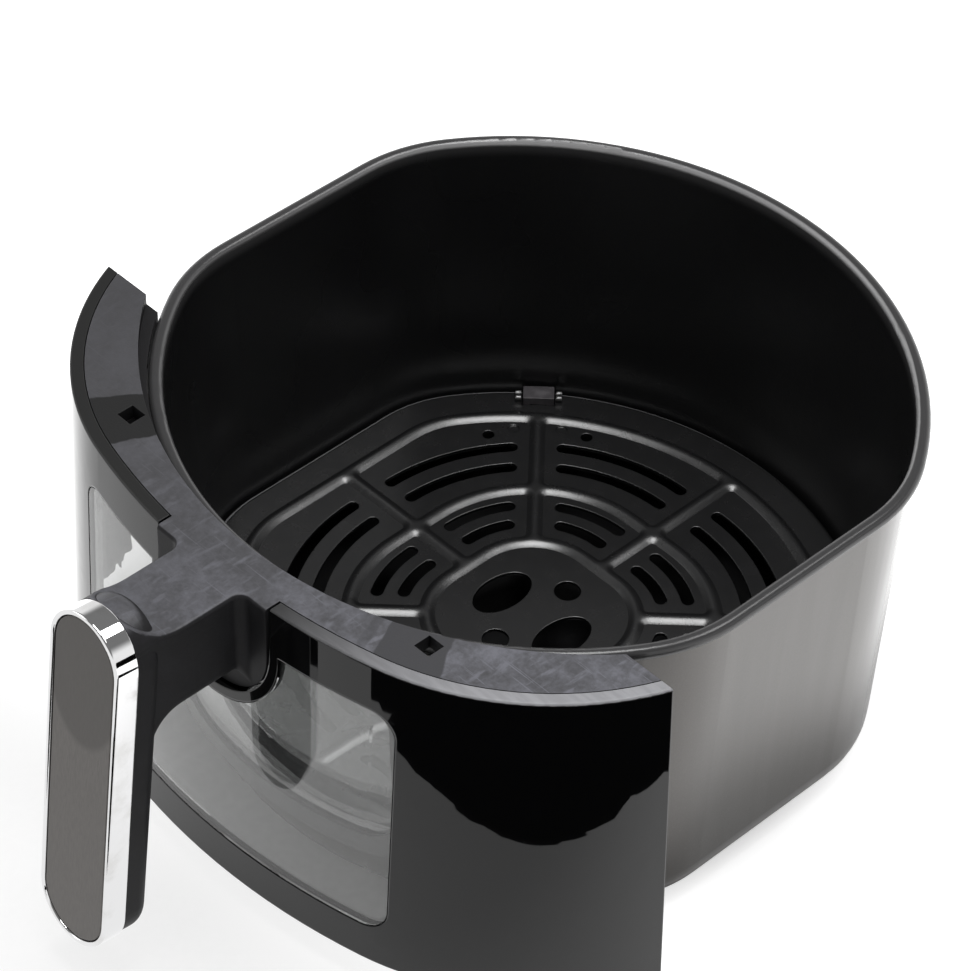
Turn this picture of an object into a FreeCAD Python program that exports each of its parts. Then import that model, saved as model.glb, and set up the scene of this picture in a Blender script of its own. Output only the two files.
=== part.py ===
import FreeCAD, Part
import math
import os
import Sketcher

# Pull-out basket drawer of an air fryer: pan, lift-out crisper plate, collar with handle arm,
# glazed front fascia and grip. Millimetres, +Z up, -Y to the front, origin at the centre of the pan's base.

V = FreeCAD.Vector
Rule = Sketcher.Constraint
TINY = 0.01
doc = FreeCAD.newDocument("basket_drawer")

# Driving sizes
SIZES = [
    # deep-drawn pan
    ("pan_width", 230.0), ("pan_length", 235.2), ("rim_arc", 126.0), ("rim_corner", 55.0),
    ("rim_height", 125.0), ("pan_wall", 1.2), ("rim_bead", 4.5), ("bead_round", 2.0),
    ("base_round", 15.0), ("pan_draft", 3.0),
    # glazing on the pan's front wall
    ("inner_window_width", 104.0), ("inner_window_base", 36.0), ("inner_window_drop", 25.0),
    ("inner_window_corner", 12.0), ("inner_seal_thick", 1.5), ("inner_glass_thick", 4.0),
    ("inner_glass_lap", 7.0), ("frame_sheet", 1.2), ("frame_flange", 4.5),
    # front fascia
    ("fascia_stand", 13.9), ("front_arc", 241.6), ("front_half", 61.1), ("side_arc", 95.0),
    ("fascia_wall", 4.2), ("fascia_end", 67.5), ("fascia_base", 11.0), ("fascia_lean", 2.9),
    ("collar_rise", 7.0), ("fascia_edge", 0.8),
    # glazing in the fascia
    ("window_width", 139.0), ("window_base", 25.0), ("window_drop", 17.0), ("window_corner", 9.0),
    ("window_gap", 0.4), ("pane_set_back", 0.1), ("window_lip", 1.2), ("outer_seal_thick", 0.6),
    ("glass_lap", 5.0), ("retainer_sheet", 1.2), ("retainer_lap", 4.0), ("notch_lap", 1.8),
    # collar, shoulder and handle arm
    ("collar_width", 26.0), ("collar_ease", 12.0), ("ledge_width", 6.0), ("ledge_drop", 2.8),
    ("ledge_rise", 0.8), ("cheek_start", 86.0), ("cheek_depth", 52.0), ("cheek_wall", 3.0),
    ("shoulder_half", 24.0), ("shoulder_drop", 19.5), ("shoulder_depth", 8.0), ("shoulder_lip", 4.2),
    ("hook_slot", 6.0), ("hook_slot_x", 66.2), ("hook_slot_back", 22.1),
    ("arm_depth", 32.0), ("arm_blend", 10.0), ("arm_edge", 1.5), ("arm_under_edge", 4.5),
    ("neck_round", 3.5), ("rise_stand", 20.5),
    # grip
    ("grip_lean", 6.8), ("grip_stand", 39.5), ("grip_drop", 6.0), ("grip_length", 127.0),
    ("grip_width", 30.4), ("grip_depth", 10.5), ("grip_round", 5.0), ("ring_depth", 8.0),
    ("ring_wall", 1.7), ("ring_edge", 0.7), ("insert_thick", 2.2), ("insert_set_back", 0.5),
    # brackets and screws
    ("bracket_sheet", 1.5), ("bracket_turn", 38.0), ("bracket_width", 20.0), ("bracket_drop", 34.0),
    ("bracket_reach", 18.0), ("boss_reach", 15.0), ("boss_drop", 9.0), ("boss_size", 9.0),
    ("screw_size", 4.0), ("screw_head", 7.5), ("screw_head_thick", 2.5), ("screw_bite", 7.5),
    ("fascia_screw_skin", 1.0), ("fascia_screw_turn", 52.0), ("screw_low_drop", 42.0),
    ("screw_high_drop", 18.0), ("screw_head_round", 0.8),
    # crisper plate and its bumpers
    ("plate_top", 23.5), ("plate_sheet", 1.2), ("skirt_height", 10.0), ("plate_edge", 2.0),
    ("bead_height", 1.1), ("bead_width", 5.0), ("bead_corner", 1.6), ("bead_slope_height", 0.9),
    ("bead_slope_width", 2.2), ("outer_bead_inset", 22.0),
    ("middle_bead", 58.0), ("middle_bead_corner", 48.0), ("inner_bead", 33.5),
    ("inner_bead_corner", 26.0), ("slot_width", 4.2), ("slot_rib_gap", 6.6),
    ("slot_one", 77.5), ("slot_one_corner", 70.0), ("slot_two", 67.5), ("slot_two_corner", 60.0),
    ("slot_three", 48.3), ("slot_three_corner", 40.0), ("slot_four", 39.6), ("slot_four_corner", 31.0),
    ("oval_x", 14.0), ("oval_width", 14.0), ("oval_length", 23.0), ("round_hole", 8.8),
    ("round_hole_y", 16.2), ("vent_hole", 4.0), ("vent_hole_radius", 87.7), ("vent_hole_turn", 11.0),
    ("dimple", 3.8), ("dimple_depth", 0.5), ("dimple_radius", 90.0), ("dimple_turn", 5.2),
    ("bumper_width", 10.7), ("bumper_inner", 102.0), ("bumper_height", 7.0), ("bumper_round", 1.5),
    ("bumper_slack", 0.4), ("tongue_width", 5.0), ("tongue_length", 4.5),
    # fits
    ("slide_gap", 0.3), ("fit_gap", 0.15), ("notch_gap", 0.8),
]
sizes = doc.addObject("Spreadsheet::Sheet", "sizes")
for row, (alias, number) in enumerate(SIZES, 1):
    sizes.set("A%d" % row, alias)
    sizes.set("B%d" % row, str(number))
    sizes.setAlias("B%d" % row, alias)

# Places that follow from the driving sizes
PLACES = [
    ("draft_slope", "tan(sizes.pan_draft * 1 deg)"),
    ("lean_slope", "tan(sizes.fascia_lean * 1 deg)"),
    ("no_inset", "0 * sizes.rim_bead"),
    ("wall_inset", "sizes.rim_bead - sizes.pan_wall"),
    ("bow_centre", "sizes.rim_arc - sizes.pan_length / 2"),
    ("wall_radius", "sizes.rim_arc - wall_inset"),
    ("foot_radius", "wall_radius - sizes.rim_height * draft_slope"),
    ("rim_top", "sizes.rim_height + sizes.rim_bead / 2"),
    ("rim_under", "sizes.rim_height - sizes.rim_bead / 2"),
    ("front_top", "sizes.rim_height + sizes.collar_rise"),
    ("front_drop", "front_top - sizes.fascia_base"),
    ("fascia_reach", "sizes.pan_length / 2 + sizes.fascia_stand"),
    ("inner_window_top", "sizes.rim_height - sizes.inner_window_drop"),
    ("window_top", "front_top - sizes.window_drop"),
    ("window_shy", "0 - sizes.window_gap"),
    ("collar_outer", "sizes.fascia_wall + sizes.slide_gap"),
    ("collar_inner", "collar_outer + sizes.collar_width"),
    ("cheek_inner", "collar_outer + sizes.cheek_wall"),
    ("collar_thick", "front_top - rim_top"),
    ("collar_bore", "sizes.rim_arc + sizes.collar_ease"),
    ("collar_bore_y", "collar_bore - sizes.pan_length / 2"),
    ("ledge_inner", "0 - sizes.slide_gap"),
    ("ledge_outer", "0 - sizes.ledge_width"),
    ("ledge_base", "rim_top - sizes.ledge_drop"),
    ("ledge_top", "rim_top + sizes.ledge_rise"),
    ("cheek_base", "front_top - sizes.cheek_depth"),
    ("hook_slot_y", "fascia_reach - sizes.hook_slot_back"),
    ("plate_inset", "sizes.rim_bead + (sizes.rim_height - plate_foot) * draft_slope + sizes.slide_gap"),
    ("plate_foot", "sizes.plate_top - sizes.skirt_height"),
    ("skirt_inset", "plate_inset + sizes.plate_sheet"),
    ("shoulder_centre", "front_top - sizes.shoulder_drop"),
    ("pane_lip", "sizes.shoulder_lip + sizes.window_gap"),
    ("arm_base", "front_top - sizes.arm_depth"),
    ("brow_rise", "sizes.grip_drop + sizes.slide_gap"),
    ("arm_rise", "brow_rise + sizes.slide_gap"),
    ("arm_half", "sqrt(sizes.grip_width * sizes.grip_width / 4 - arm_rise * arm_rise)"),
    ("rise_start", "fascia_reach + sizes.rise_stand"),
    ("grip_reach", "fascia_reach + sizes.grip_stand"),
    ("grip_centre", "front_top - sizes.grip_drop"),
    ("grip_span", "sizes.grip_length - sizes.grip_width"),
    ("shelf_top", "rim_top - sizes.boss_drop"),
    ("shelf_under", "shelf_top - sizes.bracket_sheet"),
    ("bracket_foot", "shelf_under - sizes.bracket_drop"),
    ("band_end", "sizes.fascia_end - front_drop * lean_slope - sizes.fascia_wall"),
    ("rebate_inner", "sizes.fascia_wall + sizes.fascia_wall"),
    ("seal_inner", "sizes.window_lip + sizes.outer_seal_thick"),
    ("retainer_inner", "sizes.fascia_wall + sizes.retainer_sheet"),
    ("pane_gap", "sizes.shoulder_lip - sizes.notch_lap"),
    ("pane_gap_room", "pane_gap - sizes.fit_gap"),
    ("screw_seat", "sizes.side_arc - cheek_inner - sizes.fit_gap"),
    ("fascia_screw_low", "front_top - sizes.screw_low_drop"),
    ("fascia_screw_high", "front_top - sizes.screw_high_drop"),
    ("fascia_screw_shank", "sizes.side_arc - sizes.fascia_screw_skin - screw_seat"),
    ("shoulder_back", "fascia_reach - sizes.shoulder_depth"),
    ("boss_radius", "wall_radius + sizes.boss_reach"),
    ("boss_x", "boss_radius * sin(sizes.bracket_turn * 1 deg)"),
    ("boss_y", "bow_centre - boss_radius * cos(sizes.bracket_turn * 1 deg)"),
    ("grip_shy", "sizes.ring_wall / 3"),
    ("core_inset", "sizes.ring_wall + sizes.fit_gap"),
    ("core_height", "sizes.ring_depth - sizes.insert_thick - sizes.insert_set_back"),
    ("crest_reach", "sizes.grip_width / 2 - grip_shy"),
    ("outer_bead_inner", "sizes.outer_bead_inset + sizes.bead_width"),
    ("rib_start", "sizes.inner_bead - sizes.bead_width / 2"),
    ("rib_end", "sizes.pan_width / 2 - outer_bead_inner + sizes.bead_width * 3 / 4"),
    ("bead_top", "sizes.plate_top + sizes.bead_height"),
    ("ring_arc", "sizes.rim_arc - sizes.outer_bead_inset - sizes.bead_width / 2"),
    ("diagonal_start", "(sizes.inner_bead - sizes.inner_bead_corner) * sqrt(2) + sizes.inner_bead_corner"
                       " - sizes.bead_width / 2"),
    ("diagonal_end", "sqrt(ring_arc * ring_arc - bow_centre * bow_centre / 2) - bow_centre / sqrt(2)"),
    ("bumper_foot", "sizes.plate_top - sizes.plate_sheet / 2 - sizes.bumper_height / 2"),
    ("bumper_arc", "sizes.rim_arc - sizes.rim_bead - (sizes.rim_height - bumper_foot) * draft_slope"),
    ("wall_diagonal", "sqrt(bumper_arc * bumper_arc - bow_centre * bow_centre / 2) - bow_centre / sqrt(2)"),
    ("bumper_outer", "wall_diagonal - sizes.slide_gap - sizes.bumper_slack"),
]
places = doc.addObject("Spreadsheet::Sheet", "places")
for row, (alias, formula) in enumerate(PLACES, 1):
    places.set("A%d" % row, alias)
    places.setAlias("B%d" % row, alias)
for row, (alias, formula) in enumerate(PLACES, 1):
    places.set("B%d" % row, "=" + formula)
doc.recompute()
DRIVING = {alias for alias, number in SIZES}


def num(alias):
    """Value of a named size or place; a leading minus turns its sign."""
    if alias.startswith("-"):
        return -num(alias[1:])
    return float(getattr(sizes if alias in DRIVING else places, alias))


def ref(alias):
    """The same name as an expression."""
    if alias.startswith("-"):
        return "-" + ref(alias[1:])
    return ("sizes." if alias in DRIVING else "places.") + alias


def new_body(label):
    body = doc.addObject("PartDesign::Body", label)
    body.Label = label
    return body


def body_sketch(body, name, level=None, role="XY_Plane"):
    """Sketch on one of the body's own planes, raised along the plane's normal."""
    sketch = body.newObject("Sketcher::SketchObject", name)
    plane = next(item for item in body.Origin.OriginFeatures if item.Role == role)
    sketch.AttachmentSupport = [(plane, "")]
    sketch.MapMode = "FlatFace"
    if level:
        sketch.setExpression("AttachmentOffset.Base.z", ref(level))
    return sketch


def free_sketch(name, level=None):
    """Sketch of the document: flat at a level, or upright and facing the front."""
    sketch = doc.addObject("Sketcher::SketchObject", name)
    if level:
        sketch.setExpression("Placement.Base.z", ref(level))
    else:
        sketch.Placement = FreeCAD.Placement(V(), FreeCAD.Rotation(V(1, 0, 0), 90))
    return sketch


def bind(sketch, rule, expression):
    """Add a dimension and tie it to the sheet."""
    index = sketch.addConstraint(rule)
    label = "size_%d" % index
    sketch.renameConstraint(index, label)
    sketch.setExpression("Constraints." + label, expression)


def arc_of(x, y, radius, start, end):
    return Part.ArcOfCircle(Part.Circle(V(x, y, 0), V(0, 0, 1), radius), start, end)


def rim_loop(sketch, inset):
    """Closed outline of the pan, a given distance inside the rim's outer edge: two flats,
    bowed front and back, round corners."""
    in_by = num(inset)
    half = num("pan_width") / 2 - in_by
    bow = num("rim_arc") - in_by
    corner = num("rim_corner") - in_by
    bow_y = -num("bow_centre")
    corner_x = half - corner
    corner_y = bow_y + math.sqrt((bow - corner) ** 2 - corner_x ** 2)
    turn = math.atan2(corner_y - bow_y, corner_x)
    pi = math.pi
    right = sketch.addGeometry(Part.LineSegment(V(half, -corner_y, 0), V(half, corner_y, 0)))
    back_right = sketch.addGeometry(arc_of(corner_x, corner_y, corner, 0, turn))
    back = sketch.addGeometry(arc_of(0, bow_y, bow, turn, pi - turn))
    back_left = sketch.addGeometry(arc_of(-corner_x, corner_y, corner, pi - turn, pi))
    left = sketch.addGeometry(Part.LineSegment(V(-half, corner_y, 0), V(-half, -corner_y, 0)))
    front_left = sketch.addGeometry(arc_of(-corner_x, -corner_y, corner, pi, pi + turn))
    front = sketch.addGeometry(arc_of(0, -bow_y, bow, pi + turn, 2 * pi - turn))
    front_right = sketch.addGeometry(arc_of(corner_x, -corner_y, corner, 2 * pi - turn, 2 * pi))
    chain = [right, back_right, back, back_left, left, front_left, front, front_right]
    for this, after in zip(chain, chain[1:] + chain[:1]):
        sketch.addConstraint(Rule("Tangent", this, 2, after, 1))
    for line in (right, left):
        sketch.addConstraint(Rule("Vertical", line))
    for arc in (back, front):
        sketch.addConstraint(Rule("PointOnObject", arc, 3, -2))
    for arc in (back_left, front_left, front_right):
        sketch.addConstraint(Rule("Equal", back_right, arc))
    sketch.addConstraint(Rule("Equal", back, front))
    bind(sketch, Rule("Radius", back_right, corner), "sizes.rim_corner - " + ref(inset))
    bind(sketch, Rule("Radius", back, bow), "sizes.rim_arc - " + ref(inset))
    bind(sketch, Rule("DistanceX", -1, 1, right, 1, half), "sizes.pan_width / 2 - " + ref(inset))
    bind(sketch, Rule("DistanceX", left, 1, -1, 1, half), "sizes.pan_width / 2 - " + ref(inset))
    bind(sketch, Rule("DistanceY", back, 3, -1, 1, -bow_y), "places.bow_centre")
    bind(sketch, Rule("DistanceY", -1, 1, front, 3, -bow_y), "places.bow_centre")


def front_turn():
    return math.asin(num("front_half") / num("front_arc"))


def side_centre():
    """Plan centre of the fascia's right side arc."""
    gap = num("front_arc") - num("side_arc")
    x = gap * math.sin(front_turn())
    y = num("front_arc") - num("fascia_reach") - gap * math.cos(front_turn())
    return V(x, y, 0)


def front_band(sketch, outer, inner, end):
    """Curved band along the drawer's front between two distances inside the fascia's outer face:
    a shallow centre arc, a tighter arc each side, square ends."""
    turn = front_turn()
    pi = math.pi
    centre_y = num("front_arc") - num("fascia_reach")
    side = side_centre()
    loops = []
    for inset in (outer, inner):
        wide = num("front_arc") - num(inset)
        tight = num("side_arc") - num(inset)
        stop = math.asin((-num(end) - side.y) / tight)
        middle = sketch.addGeometry(arc_of(0, centre_y, wide, -pi / 2 - turn, -pi / 2 + turn))
        right = sketch.addGeometry(arc_of(side.x, side.y, tight, -pi / 2 + turn, stop))
        left = sketch.addGeometry(arc_of(-side.x, side.y, tight, -pi - stop, -pi / 2 - turn))
        sketch.addConstraint(Rule("Tangent", middle, 2, right, 1))
        sketch.addConstraint(Rule("Tangent", left, 2, middle, 1))
        sketch.addConstraint(Rule("PointOnObject", middle, 3, -2))
        sketch.addConstraint(Rule("Equal", right, left))
        bind(sketch, Rule("Radius", middle, wide), "sizes.front_arc - " + ref(inset))
        bind(sketch, Rule("Radius", right, tight), "sizes.side_arc - " + ref(inset))
        bind(sketch, Rule("DistanceY", -1, 1, middle, 3, centre_y), "sizes.front_arc - places.fascia_reach")
        joint = "sizes.front_half * (1 - %s / sizes.front_arc)" % ref(inset)
        joint_x = wide * math.sin(turn)
        bind(sketch, Rule("DistanceX", -1, 1, right, 1, joint_x), joint)
        bind(sketch, Rule("DistanceX", left, 2, -1, 1, joint_x), joint)
        bind(sketch, Rule("DistanceY", right, 2, -1, 1, num(end)), ref(end))
        bind(sketch, Rule("DistanceY", left, 1, -1, 1, num(end)), ref(end))
        tip_x = side.x + tight * math.cos(stop)
        loops.append((right, left, tip_x))
    (right_out, left_out, out_x), (right_in, left_in, in_x) = loops
    low = -num(end)
    line = sketch.addGeometry(Part.LineSegment(V(out_x, low, 0), V(in_x, low, 0)))
    sketch.addConstraint(Rule("Coincident", line, 1, right_out, 2))
    sketch.addConstraint(Rule("Coincident", line, 2, right_in, 2))
    line = sketch.addGeometry(Part.LineSegment(V(-out_x, low, 0), V(-in_x, low, 0)))
    sketch.addConstraint(Rule("Coincident", line, 1, left_out, 1))
    sketch.addConstraint(Rule("Coincident", line, 2, left_in, 1))


def rounded_box(sketch, half, low, high, corner):
    """Rounded rectangle about the sketch's vertical axis; each size is (value, expression)."""
    (w, w_text), (y0, y0_text), (y1, y1_text), (r, r_text) = half, low, high, corner
    pi = math.pi
    right = sketch.addGeometry(Part.LineSegment(V(w, y0 + r, 0), V(w, y1 - r, 0)))
    top_right = sketch.addGeometry(arc_of(w - r, y1 - r, r, 0, pi / 2))
    top = sketch.addGeometry(Part.LineSegment(V(w - r, y1, 0), V(r - w, y1, 0)))
    top_left = sketch.addGeometry(arc_of(r - w, y1 - r, r, pi / 2, pi))
    left = sketch.addGeometry(Part.LineSegment(V(-w, y1 - r, 0), V(-w, y0 + r, 0)))
    low_left = sketch.addGeometry(arc_of(r - w, y0 + r, r, pi, 3 * pi / 2))
    base = sketch.addGeometry(Part.LineSegment(V(r - w, y0, 0), V(w - r, y0, 0)))
    low_right = sketch.addGeometry(arc_of(w - r, y0 + r, r, 3 * pi / 2, 2 * pi))
    chain = [right, top_right, top, top_left, left, low_left, base, low_right]
    for this, after in zip(chain, chain[1:] + chain[:1]):
        sketch.addConstraint(Rule("Tangent", this, 2, after, 1))
    for line in (right, left):
        sketch.addConstraint(Rule("Vertical", line))
    for line in (top, base):
        sketch.addConstraint(Rule("Horizontal", line))
    for arc in (top_left, low_left, low_right):
        sketch.addConstraint(Rule("Equal", top_right, arc))
    bind(sketch, Rule("Radius", top_right, r), r_text)
    bind(sketch, Rule("DistanceX", -1, 1, right, 1, w), w_text)
    bind(sketch, Rule("DistanceX", left, 1, -1, 1, w), w_text)
    bind(sketch, Rule("DistanceY", -1, 1, base, 1, y0), y0_text)
    bind(sketch, Rule("DistanceY", -1, 1, top, 1, y1), y1_text)


def square_run(sketch, corners):
    """Closed run of lines, level and upright by turns, with a level one first."""
    lines = [sketch.addGeometry(Part.LineSegment(a, b)) for a, b in zip(corners, corners[1:] + corners[:1])]
    for this, after in zip(lines, lines[1:] + lines[:1]):
        sketch.addConstraint(Rule("Coincident", this, 2, after, 1))
    for line in lines[::2]:
        sketch.addConstraint(Rule("Horizontal", line))
    for line in lines[1::2]:
        sketch.addConstraint(Rule("Vertical", line))
    return lines


def box_loop(sketch, half, low, high):
    """Rectangle about the sketch's vertical axis; each size is (value, expression)."""
    (w, w_text), (y0, y0_text), (y1, y1_text) = half, low, high
    base, right, top, left = square_run(sketch, [V(-w, y0, 0), V(w, y0, 0), V(w, y1, 0), V(-w, y1, 0)])
    bind(sketch, Rule("DistanceX", -1, 1, right, 1, w), w_text)
    bind(sketch, Rule("DistanceX", left, 1, -1, 1, w), w_text)
    bind(sketch, Rule("DistanceY", -1, 1, base, 1, y0), y0_text)
    bind(sketch, Rule("DistanceY", -1, 1, top, 1, y1), y1_text)


def add_circle(sketch, x, y, diameter, x_text, y_text, d_text):
    """Circle placed from the origin; x and y may be either sign."""
    circle = sketch.addGeometry(Part.Circle(V(x, y, 0), V(0, 0, 1), diameter / 2))
    bind(sketch, Rule("Diameter", circle, diameter), d_text)
    if abs(x) < TINY:
        sketch.addConstraint(Rule("PointOnObject", circle, 3, -2))
    else:
        bind(sketch, Rule("DistanceX", -1, 1, circle, 3, x), x_text)
    if abs(y) < TINY:
        sketch.addConstraint(Rule("PointOnObject", circle, 3, -1))
    else:
        bind(sketch, Rule("DistanceY", -1, 1, circle, 3, y), y_text)


def tongue_loop(sketch, grow):
    """Upright outline of the handle's shoulder: straight sides, round bottom, open past the top."""
    half = num("shoulder_half") + num(grow)
    centre = num("shoulder_centre")
    top = num("front_top") + num(grow)
    round_end = sketch.addGeometry(arc_of(0, centre, half, math.pi, 2 * math.pi))
    right = sketch.addGeometry(Part.LineSegment(V(half, centre, 0), V(half, top, 0)))
    lid = sketch.addGeometry(Part.LineSegment(V(half, top, 0), V(-half, top, 0)))
    left = sketch.addGeometry(Part.LineSegment(V(-half, top, 0), V(-half, centre, 0)))
    sketch.addConstraint(Rule("Tangent", round_end, 2, right, 1))
    sketch.addConstraint(Rule("Tangent", left, 2, round_end, 1))
    sketch.addConstraint(Rule("Coincident", right, 2, lid, 1))
    sketch.addConstraint(Rule("Coincident", lid, 2, left, 1))
    sketch.addConstraint(Rule("Vertical", right))
    sketch.addConstraint(Rule("Horizontal", lid))
    sketch.addConstraint(Rule("PointOnObject", round_end, 3, -2))
    bind(sketch, Rule("Radius", round_end, half), "sizes.shoulder_half + " + ref(grow))
    bind(sketch, Rule("DistanceY", -1, 1, round_end, 3, centre), "places.shoulder_centre")
    bind(sketch, Rule("DistanceY", -1, 1, lid, 1, top), "places.front_top + " + ref(grow))


def grip_loop(sketch, narrow):
    """Grip outline with full-round ends, a given distance inside the chrome ring's outer face."""
    radius = num("grip_width") / 2 - num(narrow)
    span = num("grip_span")
    pi = math.pi
    top = sketch.addGeometry(arc_of(0, 0, radius, 0, pi))
    left = sketch.addGeometry(Part.LineSegment(V(-radius, 0, 0), V(-radius, -span, 0)))
    base = sketch.addGeometry(arc_of(0, -span, radius, pi, 2 * pi))
    right = sketch.addGeometry(Part.LineSegment(V(radius, -span, 0), V(radius, 0, 0)))
    chain = [top, left, base, right]
    for this, after in zip(chain, chain[1:] + chain[:1]):
        sketch.addConstraint(Rule("Tangent", this, 2, after, 1))
    sketch.addConstraint(Rule("Coincident", top, 3, -1, 1))
    sketch.addConstraint(Rule("PointOnObject", base, 3, -2))
    bind(sketch, Rule("Radius", top, radius), "sizes.grip_width / 2 - " + ref(narrow))
    bind(sketch, Rule("DistanceY", base, 3, -1, 1, span), "places.grip_span")


def grip_sketch(body, name, forward=None):
    """Sketch on the leaning plane at the back of the chrome ring, moved forward along its normal."""
    sketch = body_sketch(body, name, role="XZ_Plane")
    lean = FreeCAD.Rotation(V(-1, 0, 0), num("grip_lean"))
    sketch.AttachmentOffset = FreeCAD.Placement(V(), lean)
    ahead = ref(forward) if forward else "0"
    slope = "sizes.grip_lean * 1 deg"
    sketch.setExpression("AttachmentOffset.Rotation.Angle", slope)
    sketch.setExpression("AttachmentOffset.Base.y", "places.grip_centre + (%s) * sin(%s)" % (ahead, slope))
    sketch.setExpression("AttachmentOffset.Base.z", "places.grip_reach + (%s) * cos(%s)" % (ahead, slope))
    return sketch


def pad(body, sketch, length, back=False):
    feature = body.newObject("PartDesign::Pad", sketch.Name + "_pad")
    feature.Profile = sketch
    feature.setExpression("Length", length)
    feature.Reversed = back
    return feature


def pocket(body, sketch, length, back=False):
    feature = body.newObject("PartDesign::Pocket", sketch.Name + "_pocket")
    feature.Profile = sketch
    feature.setExpression("Length", length)
    feature.Reversed = back
    return feature


def edges_of(feature, test):
    return ["Edge%d" % i for i, edge in enumerate(feature.Shape.Edges, 1) if test(edge)]


def faces_of(feature, test):
    return ["Face%d" % i for i, face in enumerate(feature.Shape.Faces, 1) if test(face)]


def level_edge(edge, z):
    box = edge.BoundBox
    return abs(box.ZMax - z) < TINY and abs(box.ZMin - z) < TINY


def edge_middle(edge):
    return edge.valueAt((edge.FirstParameter + edge.LastParameter) / 2)


def fillet(body, feature, names, radius):
    result = body.newObject("PartDesign::Fillet", feature.Name + "_round")
    result.Base = (feature, names)
    result.setExpression("Radius", radius)
    doc.recompute()
    return result


# Pan: deep-drawn steel tub with drafted walls, a rolled rim bead and a window in its front wall
pan = new_body("pan")
mouth = body_sketch(pan, "pan_mouth", "rim_height")
rim_loop(mouth, "wall_inset")
block = pad(pan, mouth, "sizes.rim_height", back=True)
doc.recompute()
drafted = pan.newObject("PartDesign::Draft", "pan_drafted")
drafted.Base = (block, faces_of(block, lambda face: face.BoundBox.ZLength > TINY))
drafted.NeutralPlane = (block, faces_of(block, lambda face: face.BoundBox.ZMin > TINY))
drafted.Reversed = True
drafted.setExpression("Angle", "sizes.pan_draft")
doc.recompute()
tub = fillet(pan, drafted, edges_of(drafted, lambda edge: level_edge(edge, 0)), "sizes.base_round")
hollow = pan.newObject("PartDesign::Thickness", "pan_hollow")
hollow.Base = (tub, faces_of(tub, lambda face: face.BoundBox.ZMin > num("rim_height") - TINY))
hollow.Reversed = True
hollow.setExpression("Value", "sizes.pan_wall")
doc.recompute()
ring = body_sketch(pan, "rim_ring", "rim_under")
rim_loop(ring, "no_inset")
rim_loop(ring, "rim_bead")
bead = pad(pan, ring, "sizes.rim_bead")
doc.recompute()


def rim_edge(edge):
    """Edges of the bead's top, and of its underside along the rim's outer outline."""
    if level_edge(edge, num("rim_top")):
        return True
    if not level_edge(edge, num("rim_under")):
        return False
    if edge.Curve.TypeId == "Part::GeomLine":
        return abs(edge_middle(edge).x) > num("pan_width") / 2 - TINY
    return min(abs(edge.Curve.Radius - num(name)) for name in ("rim_arc", "rim_corner")) < TINY


rolled = fillet(pan, bead, edges_of(bead, rim_edge), "sizes.bead_round")
sight = body_sketch(pan, "pan_window", role="XZ_Plane")
rounded_box(sight, (num("inner_window_width") / 2, "sizes.inner_window_width / 2"),
            (num("inner_window_base"), "sizes.inner_window_base"),
            (num("inner_window_top"), "places.inner_window_top"),
            (num("inner_window_corner"), "sizes.inner_window_corner"))
pocket(pan, sight, "sizes.pan_length", back=True)
doc.recompute()
PIECES = {"pan": pan}


def solid(kind, name, **links):
    """Primitive or boolean of the document, with its links set."""
    item = doc.addObject(kind, name)
    for key, value in links.items():
        setattr(item, key, value)
    return item


def wall_cone(name, grow):
    """Solid of revolution that fits the pan's front wall, grown outward by a named distance."""
    cone = solid("Part::Cone", name)
    cone.setExpression("Radius1", "places.foot_radius + " + grow)
    cone.setExpression("Radius2", "places.wall_radius + " + grow)
    cone.setExpression("Height", "sizes.rim_height")
    cone.setExpression("Placement.Base.y", "places.bow_centre")
    return cone


def forward_prism(name, sketch):
    """Upright sketch drawn out to the front, past the fascia."""
    prism = solid("Part::Extrusion", name, Base=sketch, DirMode="Normal", Solid=True)
    prism.setExpression("LengthFwd", "places.fascia_reach * 2")
    return prism


def pane_outline(name, grow):
    """Upright rounded rectangle that grows round the pan's window."""
    sketch = free_sketch(name)
    lap = sum(num(item) for item in grow)
    lap_text = " + ".join(ref(item) for item in grow)
    rounded_box(sketch, (num("inner_window_width") / 2 + lap, "sizes.inner_window_width / 2 + " + lap_text),
                (num("inner_window_base") - lap, "sizes.inner_window_base - (%s)" % lap_text),
                (num("inner_window_top") + lap, "places.inner_window_top + " + lap_text),
                (num("inner_window_corner") + lap, "sizes.inner_window_corner + " + lap_text))
    return sketch


# Inner glazing: rubber seal, curved pane and pressed steel frame clamped on the pan's front wall
wall_face = wall_cone("wall_face", "0")
seal_face = wall_cone("seal_face", "sizes.inner_seal_thick")
glass_face = wall_cone("glass_face", "sizes.inner_seal_thick + sizes.inner_glass_thick")
frame_face = wall_cone("frame_face", "sizes.inner_seal_thick + sizes.inner_glass_thick + sizes.frame_sheet")
flange_face = wall_cone("flange_face", "sizes.frame_sheet")
bracket_face = wall_cone("bracket_face", "sizes.bracket_sheet")
sight_prism = forward_prism("sight_prism", pane_outline("sight_outline", ["no_inset"]))
glass_prism = forward_prism("glass_prism", pane_outline("glass_outline", ["inner_glass_lap"]))
nest_prism = forward_prism("nest_prism", pane_outline("nest_outline", ["inner_glass_lap", "slide_gap"]))
hat_prism = forward_prism("hat_prism", pane_outline("hat_outline",
                          ["inner_glass_lap", "slide_gap", "frame_sheet"]))
flange_prism = forward_prism("flange_prism", pane_outline("flange_outline",
                             ["inner_glass_lap", "slide_gap", "frame_sheet", "frame_flange"]))
seal_shell = solid("Part::Cut", "seal_shell", Base=seal_face, Tool=wall_face)
seal_ring = solid("Part::Cut", "seal_ring", Base=glass_prism, Tool=sight_prism)
PIECES["inner_seal"] = solid("Part::Common", "inner_seal", Base=seal_shell, Tool=seal_ring)
glass_shell = solid("Part::Cut", "glass_shell", Base=glass_face, Tool=seal_face)
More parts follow.
